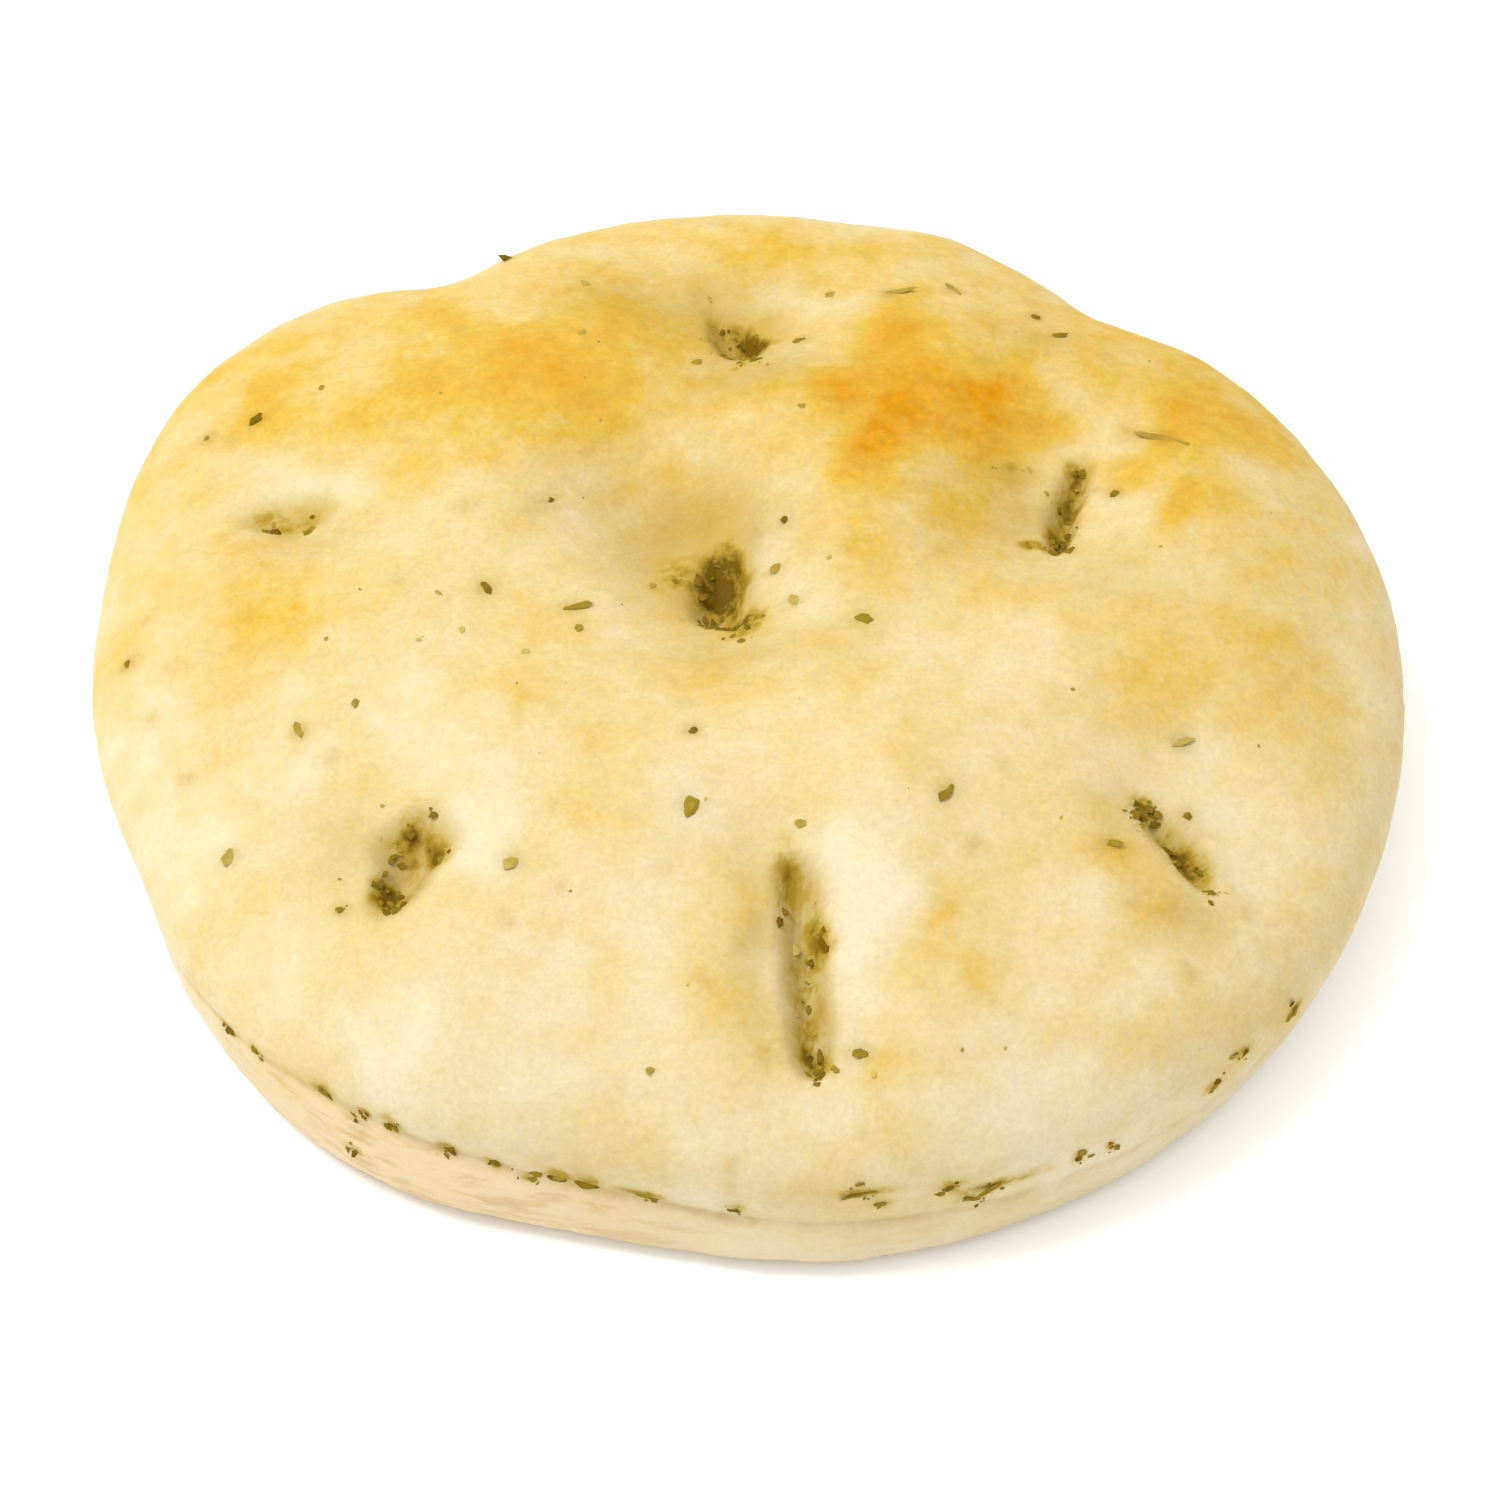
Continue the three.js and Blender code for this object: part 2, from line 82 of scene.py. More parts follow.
def smooth_step(value: Array, low: float, high: float) -> Array:
    """Gives 0 below low, 1 above high and a smooth rise between them."""
    share = np.clip((value - low) / (high - low), 0.0, 1.0)
    return share * share * (3.0 - 2.0 * share)


def smooth_min(first: Array, second: Array, blend: float) -> Array:
    """Gives the lower of two heights, rounded off where they are within blend of each other."""
    share = np.clip(0.5 + 0.5 * (second - first) / blend, 0.0, 1.0)
    return second + (first - second) * share - blend * share * (1.0 - share)


def seeded_numbers(seed: int) -> Iterator[float]:
    """Yields the same stream of numbers from 0 to 1 that places the solid loaf's rosemary.

    Args:
        seed: Where the stream starts.

    Returns:
        An endless iterator.
    """
    state = seed
    while True:
        state = state * STREAM_STEP % STREAM_END
        yield state / STREAM_END


@dataclass(frozen=True)
class Lobe:
    """One swelling of the loaf's outline, or a notch where out is negative. Millimetres."""

    name: str
    at_deg: float
    half_deg: float
    out: float


@dataclass(frozen=True)
class Dimple:
    """One finger dimple: a steep-sided pit, and a wide soft hollow that leans off it. Millimetres."""

    name: str
    x: float
    y: float
    turn_deg: float
    length: float
    width: float
    depth: float
    bluntness: float
    steep_deg: float
    skew: float
    corner_deg: float
    hollow: float
    sink: float
    lean_x: float
    lean_y: float
    clump_deg: float
    flakes: int


@dataclass(frozen=True)
class Patch:
    """One soft patch on the crust, with its half sizes and how strong it is. Millimetres."""

    name: str
    x: float
    y: float
    half_x: float
    half_y: float
    strength: float

    def over(self, x: Array, y: Array) -> Array:
        """Gives the patch's strength at plan places."""
        return self.strength * bump(np.hypot((x - self.x) / self.half_x, (y - self.y) / self.half_y), 1.0)


@dataclass(frozen=True)
class Standout:
    """One piece of rosemary that stands out, with its tone from 0, dark, to 1, straw. Millimetres."""

    x: float
    y: float
    length: float
    width: float
    turn_deg: float
    tone: float


@dataclass(frozen=True)
class SideBit:
    """One piece of rosemary that sticks to the loaf's side near the crease. Millimetres."""

    at_deg: float
    above: float
    length: float
    width: float
    tilt_deg: float


@dataclass(frozen=True)
class Trail:
    """A trail of crumbled rosemary between two plan places, with its count and tone. Millimetres."""

    name: str
    from_x: float
    from_y: float
    to_x: float
    to_y: float
    count: int
    tone: float

    def distance(self, x: Array, y: Array) -> Array:
        """Gives how far plan places lie from the trail's line.

        Args:
            x: Places along X.
            y: Places along Y.

        Returns:
            Distances in millimetres.
        """
        run_x = self.to_x - self.from_x
        run_y = self.to_y - self.from_y
        along = ((x - self.from_x) * run_x + (y - self.from_y) * run_y) / (run_x**2 + run_y**2)
        share = np.clip(along, 0.0, 1.0)
        return np.hypot(x - self.from_x - share * run_x, y - self.from_y - share * run_y)


@dataclass
class LoafShape:
    """The loaf's form as formulas over plan places and directions. Millimetres."""

    radius: float = 76.0
    height: float = 33.0
    waist: float = 13.5
    base_tuck: float = 5.0
    shelf: float = 0.9
    shelf_rounding: float = 5.0
    groove_depth: float = 0.3
    groove_half: float = 0.8
    foot_tuck: float = 2.6
    foot_half: float = 1.4
    crown_flatness: float = 2.4
    shoulder_roundness: float = 1.9
    crease_level: float = 8.8
    crease_rise: float = 5.6
    waist_rise: float = 2.4
    highest_deg: float = 232.0
    highest_half_deg: float = 22.0
    crease_strongest_deg: float = 262.0
    crease_half_deg: float = 46.0
    crease_least: float = 0.05
    pit_steepness: float = 1.4
    pit_rounding: float = 2.0
    pit_corners: float = 0.24
    pit_corner_count: int = 3
    pit_ragged: float = 0.08
    pit_ragged_count: int = 5
    outline_steps: int = 3600
    wave_count: int = 6
    wave_longest: float = 46.0
    wave_shrink: float = 0.86
    wave_height: float = 0.45
    wave_turn_deg: float = 137.5
    lobes: tuple[Lobe, ...] = (
        Lobe("left shoulder", 143, 22, 6.9),
        Lobe("left notch", 120, 8, -3.8),
        Lobe("back", 92, 20, 1.6),
        Lobe("right back", 70, 6, 1.5),
        Lobe("right notch", 51, 7.5, -3.1),
        Lobe("right shoulder", 19, 34, 3.8),
        Lobe("left flat", 201, 11, -1.7),
        Lobe("left front", 231, 14, 0.8),
        Lobe("front", 259, 16, -3.1),
        Lobe("right front", 319, 30, 3.1),
    )
    dimples: tuple[Dimple, ...] = (
        Dimple("middle", -0.9, -1, 100, 15, 6.8, 5.6, 2, -40, 0.45, 75, 16, 6.5, -7, 9, -62, 16),
        Dimple("back", 0.8, 42.2, 112, 12, 6, 4.2, 2, -75, 0.4, 112, 12, 4.6, -4, 8, -80, 12),
        Dimple("left", -52.8, 14.6, -8, 10, 7, 1.8, 2, -85, 0.25, 30, 11, 3.4, 3, 4, -100, 5),
        Dimple("right back", 39.5, 15.4, 77, 18, 4, 3.8, 3, -15, 0.4, 77, 12, 4.8, -5, 3, -115, 12),
        Dimple("right", 49.4, -34.7, -52, 13.6, 3.8, 2.8, 3, -142, 0.45, 128, 11, 3.8, 5, 5, 128, 12),
        Dimple("left front", -35.9, -37.6, 68, 14.5, 8.6, 4.4, 2, -45, 0.05, 13, 11, 3.4, -2, 3, 235, 12),
        Dimple("front", 7.8, -51.2, -85, 26, 5.4, 3.6, 8, 8, 0.1, 8, 10, 3, -0.5, 1, -85, 8),
    )

    def outline(self, angle_deg: Array) -> Array:
        """Gives the radius of the loaf's widest part in each direction."""
        away = ((lobe, degrees_apart(angle_deg, lobe.at_deg)) for lobe in self.lobes)
        return self.radius + sum(lobe.out * bump(apart, lobe.half_deg) for lobe, apart in away)

    def dome_outline(self, angle_deg: Array) -> Array:
        """Gives the dome's radius in each direction, which leaves a shelf where the side is creased."""
        return self.outline(angle_deg) - self.shelf * self.crease_strength(angle_deg)

    def plan_shift(self) -> Spot:
        """Gives the shift that centres the loaf's box on the origin.

        Returns:
            The shift along X and along Y.
        """
        angle = np.linspace(0.0, 2.0 * np.pi, self.outline_steps)
        reach = self.outline(np.degrees(angle))
        x = reach * np.cos(angle)
        y = reach * np.sin(angle)
        return -(x.min() + x.max()) / 2.0, -(y.min() + y.max()) / 2.0

    def crease_strength(self, angle_deg: Array) -> Array:
        """Gives how strong the crease is in each direction, from 0 to 1."""
        near = bump(degrees_apart(angle_deg, self.crease_strongest_deg), self.crease_half_deg)
        return self.crease_least + (1.0 - self.crease_least) * near

    def crease_height(self, angle_deg: Array) -> Array:
        """Gives the crease's height above the table in each direction."""
        return self.crease_level + self.crease_rise * self.lifted(angle_deg)

    def waist_height(self, angle_deg: Array) -> Array:
        """Gives the height where the dome starts in each direction."""
        return self.waist + self.waist_rise * self.lifted(angle_deg)

    def lifted(self, angle_deg: Array) -> Array:
        """Gives how far the foot's edge is lifted in each direction, from 0 to 1."""
        return bump(degrees_apart(angle_deg, self.highest_deg), self.highest_half_deg)

    def ripple(self, x: Array, y: Array, longest: float, phase: float) -> Array:
        """Gives a slow unevenness over plan places, as a sum of waves in all directions.

        Args:
            x: Places along X.
            y: Places along Y.
            longest: The longest wave's length.
            phase: Where the waves start.

        Returns:
            Values about 0, mostly within 2 of it.
        """
        total = np.zeros_like(x)
        for i in range(self.wave_count):
            shrink = self.wave_shrink**i
            turn = math.radians(self.wave_turn_deg * i)
            along = x * math.cos(turn) + y * math.sin(turn)
            total += shrink * np.sin(2.0 * np.pi * along / (longest * shrink) + i + phase)
        return total

    def dimple_distance(self, dimple: Dimple, x: Array, y: Array) -> Array:
        """Gives how far plan places lie from a dimple's middle line.

        Args:
            dimple: The dimple.
            x: Places along X.
            y: Places along Y.

        Returns:
            Distances from the line that runs along its pit, short of the round ends.
        """
        along, across = self.dimple_axes(dimple, x, y)
        past_end = np.maximum(np.abs(along) - max(dimple.length - dimple.width, 0.0) / 2.0, 0.0)
        return np.hypot(across, past_end)

    def hollows(self, x: Array, y: Array) -> Array:
        """Gives how far the dough sinks round all the dimples at plan places.

        Args:
            x: Places along X.
            y: Places along Y.

        Returns:
            Depths below the dome.
        """
        depth = np.zeros_like(x)
        for dimple in self.dimples:
            away = self.dimple_distance(dimple, x - dimple.lean_x, y - dimple.lean_y)
            depth += dimple.sink * bump(away, dimple.hollow)
        return depth

    def dimple_axes(self, dimple: Dimple, x: Array, y: Array) -> tuple[Array, Array]:
        """Gives where plan places lie along and across a dimple.

        Args:
            dimple: The dimple.
            x: Places along X.
            y: Places along Y.

        Returns:
            Distances along the dimple's length and across it, from its middle.
        """
        turn = math.radians(dimple.turn_deg)
        along = (x - dimple.x) * math.cos(turn) + (y - dimple.y) * math.sin(turn)
        across = (y - dimple.y) * math.cos(turn) - (x - dimple.x) * math.sin(turn)
        return along, across

    def crust(self, x: Array, y: Array) -> Array:
        """Gives the crust's height at plan places, before the pits are pressed in.

        Args:
            x: Places along X.
            y: Places along Y.

        Returns:
            Heights above the table.
        """
        angle_deg = np.degrees(np.arctan2(y, x))
        share = np.minimum(np.hypot(x, y) / self.dome_outline(angle_deg), 1.0)
        rise = (1.0 - share**self.crown_flatness) ** (1.0 / self.shoulder_roundness)
        relief = self.wave_height * self.ripple(x, y, self.wave_longest, 0.0) - self.hollows(x, y)
        waist = self.waist_height(angle_deg)
        return waist + (self.height - waist + relief) * rise

    def pressed(self, x: Array, y: Array) -> Array:
        """Gives the crust's height with the pits pressed in.

        Args:
            x: Places along X.
            y: Places along Y.

        Returns:
            Heights above the table.
        """
        height = self.crust(x, y)
        open_crust = height
        for dimple in self.dimples:
            wall = open_crust + dimple.depth * (self.pit_level(dimple, x, y) - 1.0)
            height = smooth_min(height, wall, self.pit_rounding)
        return height

    def pit_level(self, dimple: Dimple, x: Array, y: Array) -> Array:
        """Gives how far up a pit's walls plan places lie.

        Args:
            dimple: The pit's dimple.
            x: Places along X.
            y: Places along Y.

        Returns:
            0 at the deepest point and 1 on the rim, which is nearer on the steep side.
        """
        along, across = self.dimple_axes(dimple, x, y)
        stretch = self.pit_stretch(dimple, np.arctan2(y - dimple.y, x - dimple.x))
        ends = np.abs(along / (stretch * dimple.length / 2.0)) ** dimple.bluntness
        return ends + np.abs(across / (stretch * dimple.width / 2.0)) ** self.pit_steepness

    def pit_place(self, dimple: Dimple, turn: float, level: float) -> Spot:
        """Gives a plan place on a pit's wall.

        Args:
            dimple: The pit's dimple.
            turn: How far round the pit the place lies from its length, in radians.
            level: How far up the wall it lies, from 0 at the deepest point to 1 on the rim.

        Returns:
            The place along X and Y.
        """
        ends = abs(math.cos(turn)) ** 2 * level
        walls = abs(math.sin(turn)) ** 2 * level
        along = math.copysign(dimple.length / 2.0 * ends ** (1.0 / dimple.bluntness), math.cos(turn))
        across = math.copysign(dimple.width / 2.0 * walls ** (1.0 / self.pit_steepness), math.sin(turn))
        heading = math.radians(dimple.turn_deg)
        off_x = along * math.cos(heading) - across * math.sin(heading)
        off_y = along * math.sin(heading) + across * math.cos(heading)
        stretch = float(self.pit_stretch(dimple, math.atan2(off_y, off_x)))
        return dimple.x + stretch * off_x, dimple.y + stretch * off_y

    def pit_stretch(self, dimple: Dimple, angle: Array) -> Array:
        """Gives how far a pit's rim is moved out in each direction, as a share.

        Args:
            dimple: The pit's dimple.
            angle: Directions from its deepest point, in radians.

        Returns:
            Shares below 1 on the steep side and above 1 on the other, more at the three corners.
        """
        steep = dimple.skew * np.cos(angle - math.radians(dimple.steep_deg))
        turn = angle - math.radians(dimple.corner_deg)
        corners = self.pit_corners * np.cos(self.pit_corner_count * turn)
        ragged = self.pit_ragged * np.cos(self.pit_ragged_count * turn)
        return (1.0 - steep) * (1.0 + (corners + ragged) * dimple.width / dimple.length)

    def side(self, share: float, angle_deg: Array) -> tuple[Array, Array]:
        """Gives one ring of the loaf's side below the waist, creased where the crease is strong.

        Args:
            share: From 2 at the waist through 1 at the crease to 0 at the base.
            angle_deg: Directions.

        Returns:
            Insets from the outline, and heights above the table.
        """
        crease = self.crease_height(angle_deg)
        waist = self.waist_height(angle_deg)
        height = crease * min(share, 1.0) + (waist - crease) * max(share - 1.0, 0.0)
        plain = self.base_tuck * (1.0 - height / waist) ** 2
        shelf = self.shelf * smooth_step(height - crease, -self.shelf_rounding, 0.0)
        groove = self.groove_depth * bump(height - crease, self.groove_half)
        foot = self.foot_tuck * bump(height, self.foot_half)
        return plain + (shelf + groove + foot - plain) * self.crease_strength(angle_deg), height


@dataclass(frozen=True)
class Grain:
    """Soft noise at a number of features per metre, with one span of its values stretched to another."""

    scale: float
    detail: float
    rough: float
    span: Span
    to: Span


class Graph:
    """A node tree that is being wired up."""

    def __init__(self, tree: Tree) -> None:
        """Starts on a tree."""
        self.tree = tree

    def feed(self, socket: Socket, value: Any) -> None:
        """Links a socket to an input, or sets the input's own value.

        Args:
            socket: The input.
            value: Another node's output socket, or a plain value.
        """
        if isinstance(value, Socket):
            self.tree.links.new(value, socket)
        else:
            socket.default_value = value

    def add(self, kind: str, inputs: dict[Any, Any] | None = None, **settings: Any) -> bpy.types.Node:
        """Adds a node.

        Args:
            kind: The node's type name.
            inputs: What feeds its inputs, by name or index.
            **settings: Properties of the node.

        Returns:
            The node.
        """
        node = self.tree.nodes.new(kind)
        for name, value in settings.items():
            setattr(node, name, value)
        for name, value in (inputs or {}).items():
            self.feed(node.inputs[name], value)
        return node

    def math(self, operation: str, first: Any, second: Any, clamp: bool = False) -> Socket:
        """Adds a sum on two numbers.

        Args:
            operation: The Math node's operation.
            first: The first number or socket.
            second: The second number or socket.
            clamp: Whether the result is kept from 0 to 1.

        Returns:
            The result's socket.
        """
        node = self.add("ShaderNodeMath", {0: first, 1: second}, operation=operation, use_clamp=clamp)
        return node.outputs[0]

    def plus(self, first: Any, second: Any, clamp: bool = False) -> Socket:
        """Adds two numbers, and keeps the result from 0 to 1 if it is clamped."""
        return self.math("ADD", first, second, clamp)

    def minus(self, first: Any, second: Any) -> Socket:
        """Takes the second number from the first."""
        return self.math("SUBTRACT", first, second)

    def times(self, first: Any, second: Any) -> Socket:
        """Multiplies two numbers."""
        return self.math("MULTIPLY", first, second)

    def vector(self, operation: str, first: Any, second: Any) -> Socket:
        """Adds a sum on two vectors, by the Vector Math node's operation."""
        return self.add("ShaderNodeVectorMath", {0: first, 1: second}, operation=operation).outputs[0]

    def scaled(self, direction: Any, length: Any) -> Socket:
        """Multiplies a vector by a number."""
        node = self.add("ShaderNodeVectorMath", {0: direction, "Scale": length}, operation="SCALE")
        return node.outputs[0]

    def noise(self, place: Any, scale: Any, detail: float, rough: float = 0.5) -> Socket:
        """Adds soft noise about 0.5, with features per metre, finer layers and how strong those are."""
        inputs = {"Vector": place, "Scale": scale, "Detail": detail, "Roughness": rough}
        return self.add("ShaderNodeTexNoise", inputs).outputs[0]

    def spread(self, value: Any, span: Span, to: Span = (0.0, 1.0)) -> Socket:
        """Adds a smooth rise from one span to another.

        Args:
            value: The number's socket.
            span: Where the rise starts and ends.
            to: The results there.

        Returns:
            The result's socket.
        """
        inputs = {"Value": value, "From Min": span[0], "From Max": span[1], "To Min": to[0], "To Max": to[1]}
        return self.add("ShaderNodeMapRange", inputs, interpolation_type="SMOOTHSTEP").outputs[0]

    def grain(self, place: Any, grain: Grain) -> Socket:
        """Adds one of a finish's grains at a place."""
        return self.spread(self.noise(place, grain.scale, grain.detail, grain.rough), grain.span, grain.to)

    def mix(self, share: Any, first: Any, second: Any, blend: str = "MIX") -> Socket:
        """Adds a mix of two colours.

        Args:
            share: How much of the second colour there is.
            first: The first colour or its socket.
            second: The second colour or its socket.
            blend: The Mix node's blend type.

        Returns:
            The colour's socket.
        """
        # The Mix node's sockets share names, so those for colours are fed by index.
        node = self.add("ShaderNodeMix", {0: share, 6: first, 7: second}, data_type="RGBA", blend_type=blend)
        return node.outputs[2]

    def ramp(self, value: Any, stops: dict[float, Triple]) -> Socket:
        """Adds a colour that follows a number.

        Args:
            value: The number's socket.
            stops: Colours by their places from 0 to 1.

        Returns:
            The colour's socket.
        """
        node = self.add("ShaderNodeValToRGB", {0: value})
        elements = node.color_ramp.elements
        while len(elements) < len(stops):
            elements.new(1.0)
        for element, (place, colour) in zip(elements, stops.items()):
            element.position = place
            element.color = (*colour, 1.0)
        return node.outputs[0]

    def named(self, name: str, kind: str = "FLOAT") -> Socket:
        """Adds a reading of one of the geometry's own attributes."""
        return self.add("GeometryNodeInputNamedAttribute", {"Name": name}, data_type=kind).outputs[0]

    def end(self, geometry: Socket, finish: Socket) -> None:
        """Ends a Geometry Nodes tree.

        Args:
            geometry: What it has made, which becomes real geometry.
            finish: The material that dresses it.
        """
        real = self.add("GeometryNodeRealizeInstances", {"Geometry": geometry}).outputs[0]
        dressed = self.add("GeometryNodeSetMaterial", {"Geometry": real, "Material": finish}).outputs[0]
        self.add("NodeGroupOutput", {0: dressed})


def new_group(name: str, kind: str, inputs: dict[str, str], outputs: dict[str, str]) -> tuple[Graph, Any]:
    """Makes a node group with named inputs and outputs.

    Args:
        name: The group's name.
        kind: Its tree's type name.
        inputs: The kinds of its input sockets by their names.
        outputs: The kinds of its output sockets by their names.

    Returns:
        The group's graph, and the sockets that its inputs come in by.
    """
    tree = bpy.data.node_groups.new(name, kind)
    for side, sockets in (("INPUT", inputs), ("OUTPUT", outputs)):
        for title, socket in sockets.items():
            tree.interface.new_socket(title, in_out=side, socket_type=f"NodeSocket{socket}")
    graph = Graph(tree)
    return graph, graph.add("NodeGroupInput").outputs


def mottle_group() -> None:
    """Makes the shader group that mottles crust and dried leaves: a value about 0, and a bump height."""
    fleck_share = 0.6
    grain_share = 0.2
    middle = 0.9
    fleck_height = 0.5
    inputs = {"Place": "Vector", **dict.fromkeys(MOTTLE_SCALES, "Float")}
    graph, given = new_group(MOTTLING, "ShaderNodeTree", inputs, {"Mottle": "Float", "Height": "Float"})
    cloud = graph.noise(given["Place"], given["Cloud Scale"], detail=3.0)
    fleck = graph.noise(given["Place"], given["Fleck Scale"], detail=3.0, rough=0.6)
    grain = graph.noise(given["Place"], given["Grain Scale"], detail=2.0)
    total = graph.plus(graph.plus(cloud, graph.times(fleck, fleck_share)), graph.times(grain, grain_share))
    height = graph.plus(graph.times(fleck, fleck_height), grain)
    graph.add("NodeGroupOutput", {"Mottle": graph.minus(total, middle), "Height": height})


class Surface(Graph):
    """A material that is being wired up round its Principled BSDF."""

    def __init__(self, name: str) -> None:
        """Starts a material.

        Args:
            name: The material's name.
        """
        self.material = bpy.data.materials.new(name)
        self.material.use_nodes = True
        super().__init__(self.material.node_tree)

    def shade(self, inputs: dict[str, Any]) -> None:
        """Feeds the Principled BSDF's inputs by their names."""
        for name, value in inputs.items():
            self.feed(self.tree.nodes["Principled BSDF"].inputs[name], value)

    def place(self) -> Socket:
        """Adds the object's own coordinates."""
        return self.add("ShaderNodeTexCoord").outputs["Object"]

    def own(self, name: str) -> Socket:
        """Adds a reading of one of the mesh's own attributes."""
        return self.add("ShaderNodeAttribute", attribute_name=name).outputs["Fac"]

    def mottled(self, place: Socket, scales: Triple) -> Any:
        """Adds the shared mottling at a place with its three scales, and gives the group's outputs."""
        inputs = {"Place": place, **dict(zip(MOTTLE_SCALES, scales))}
        return self.add("ShaderNodeGroup", inputs, node_tree=bpy.data.node_groups[MOTTLING]).outputs

    def roughen(self, height: Socket, strength: float, distance: float) -> None:
        """Puts fine bumps on the surface, of a height, a strength and a distance in metres."""
        bumps = self.add("ShaderNodeBump", {"Strength": strength, "Distance": distance, "Height": height})
        self.shade({"Normal": bumps.outputs[0]})


@dataclass(frozen=True)
class CrustFinish:
    """Baked crust: pale where the dough stayed cool, gold to amber where it browned, oily in the pits, with
    painted shade in the hollows and along the crease, and painted highlights on the lit pit walls.
    """

    cream: Triple = (0.522, 0.456, 0.303)
    pale: Triple = (0.481, 0.381, 0.176)
    gold: Triple = (0.458, 0.293, 0.04)
    amber: Triple = (0.44, 0.19, 0.0015)
    pale_at: float = 0.28
    gold_at: float = 0.62
    # The tint that oil and the painted shade multiply the crust by.
    oiled_and_shaded: Triple = (0.72, 0.66, 0.42)
    peach: Triple = (0.6, 0.46, 0.27)
    streak: Triple = (0.45, 0.265, 0.08)
    lip_strength: float = 0.85
    # The colour of the painted shade along the crease.
    crease_shade: Triple = (0.34, 0.25, 0.09)
    damp: Triple = (0.42, 0.30, 0.075)
    stain: Triple = (0.30, 0.20, 0.022)
    oily: Triple = (0.125, 0.07, 0.002)
    damp_at: float = 0.2
    stain_at: float = 0.55
    oily_at: float = 0.95
    oil_span: Span = (0.0, 0.6)
    scorch: Triple = (0.24, 0.11, 0.025)
    underside: Triple = (0.40, 0.22, 0.06)
    scorch_at: float = 0.2
    underside_at: float = 0.75
    underside_mottle: float = 0.5
    mottle_scales: Triple = (75.0, 220.0, 1000.0)
    mottle_pale: float = 0.55
    mottle_browned: float = 0.35
    speckle: Grain = Grain(1600.0, 2.0, 0.6, (0.3, 0.7), (0.96, 1.04))
    crumb: Grain = Grain(520.0, 2.0, 0.6, (0.3, 0.7), (0.93, 1.07))
    dust: Grain = Grain(420.0, 3.0, 0.65, (0.35, 0.65), (0.65, 1.25))
    # Breaks up the painted shade along the crease.
    crease_shade_breakup: Grain = Grain(110.0, 3.0, 0.7, (0.35, 0.65), (0.1, 0.7))
    wrinkle: Grain = Grain(110.0, 4.0, 0.65, (0.45, 0.64), (0.0, 0.85))
    wrinkle_stretch: Triple = (1.0, 1.0, 4.0)
    roughness: float = 0.58
    mottle_roughness: float = 0.12
    specular: float = 0.05
    subsurface: float = 0.15
    subsurface_radius: Triple = (1.0, 0.55, 0.25)
    subsurface_depth: float = 2.5 * MM
    bump_strength: float = 0.35
    bump_distance: float = 0.25 * MM

    def material(self) -> bpy.types.Material:
        """Makes the crust's material.

        Returns:
            The material, which reads the loaf's own attributes.
        """
        graph = Surface("baked_crust")
        place = graph.place()
        mottled = graph.mottled(place, self.mottle_scales)
        mottle = mottled["Mottle"]
        colour = self.baked_colour(graph, place, mottle)
        colour = self.lip_colour(graph, place, colour)
        colour = self.pit_colour(graph, place, colour)
        # Painted shade: a darker line along the crease in the loaf's side, broken up by noise.
        crease_shading = graph.times(graph.own("crease"), graph.grain(place, self.crease_shade_breakup))
        colour = graph.mix(crease_shading, colour, (*self.crease_shade, 1.0))
        stops = {self.scorch_at: self.scorch, self.underside_at: self.underside}
        toasted = graph.ramp(graph.plus(mottle, self.underside_mottle), stops)
        inputs = {
            "Base Color": graph.mix(graph.own("under"), colour, toasted),
            "Roughness": graph.plus(self.roughness, graph.times(mottle, self.mottle_roughness)),
            "Specular IOR Level": self.specular,
            "Subsurface Weight": self.subsurface,
            "Subsurface Radius": self.subsurface_radius,
            "Subsurface Scale": self.subsurface_depth,
        }
        graph.shade(inputs)
        graph.roughen(mottled["Height"], self.bump_strength, self.bump_distance)
        return graph.material

    def baked_colour(self, graph: Surface, place: Socket, mottle: Socket) -> Socket:
        """Adds the crust's colour as it came out of the oven, with painted highlights on the lit pit walls,
        darkened by oil and by painted shade in the hollows round the pits.

        Args:
            graph: The material's graph.
            place: The coordinates' socket.
            mottle: The mottling's socket.

        Returns:
            The colour's socket.
        """
        # This mask also carries the painted highlights on the pit walls that face the lamp.
        heat_and_highlights = graph.own("browning")
        patchy = graph.plus(self.mottle_pale, graph.times(heat_and_highlights, self.mottle_browned))
        baked = graph.plus(heat_and_highlights, graph.times(mottle, patchy), clamp=True)
        stops = {0.0: self.cream, self.pale_at: self.pale, self.gold_at: self.gold, 1.0: self.amber}
        # Painted shade: darkens the hollows round the pits, along with the oil round the flakes and in
        # smudges.
        colour = graph.mix(graph.own("wash"), graph.ramp(baked, stops), (*self.oiled_and_shaded, 1.0), "MULTIPLY")
        colour = graph.mix(1.0, colour, graph.grain(place, self.speckle), "MULTIPLY")
        return graph.mix(heat_and_highlights, colour, graph.grain(place, self.crumb), "MULTIPLY")

    def lip_colour(self, graph: Surface, place: Socket, colour: Socket) -> Socket:
        """Adds the peach foot with its darker streaks along the edge.

        Args:
            graph: The material's graph.
            place: The coordinates' socket.
            colour: The crust's colour so far.

        Returns:
            The colour's socket.
        """
        wrinkle = graph.grain(graph.vector("MULTIPLY", place, self.wrinkle_stretch), self.wrinkle)
        foot = graph.mix(wrinkle, (*self.peach, 1.0), (*self.streak, 1.0))
        return graph.mix(graph.times(graph.own("lip"), self.lip_strength), colour, foot)

    def pit_colour(self, graph: Surface, place: Socket, colour: Socket) -> Socket:
        """Adds the oil and the herb dust that stain the pits, and the painted shade on the middle pit's upper
        wall.

        Args:
            graph: The material's graph.
            place: The coordinates' socket.
            colour: The crust's colour so far.

        Returns:
            The colour's socket.
        """
        # The pit mask holds oil and herb dust, and the painted shade on the middle pit's upper wall.
        oil = graph.times(graph.own("pit"), graph.grain(place, self.dust))
        stops = {self.damp_at: self.damp, self.stain_at: self.stain, self.oily_at: self.oily}
        return graph.mix(graph.spread(oil, self.oil_span), colour, graph.ramp(oil, stops))


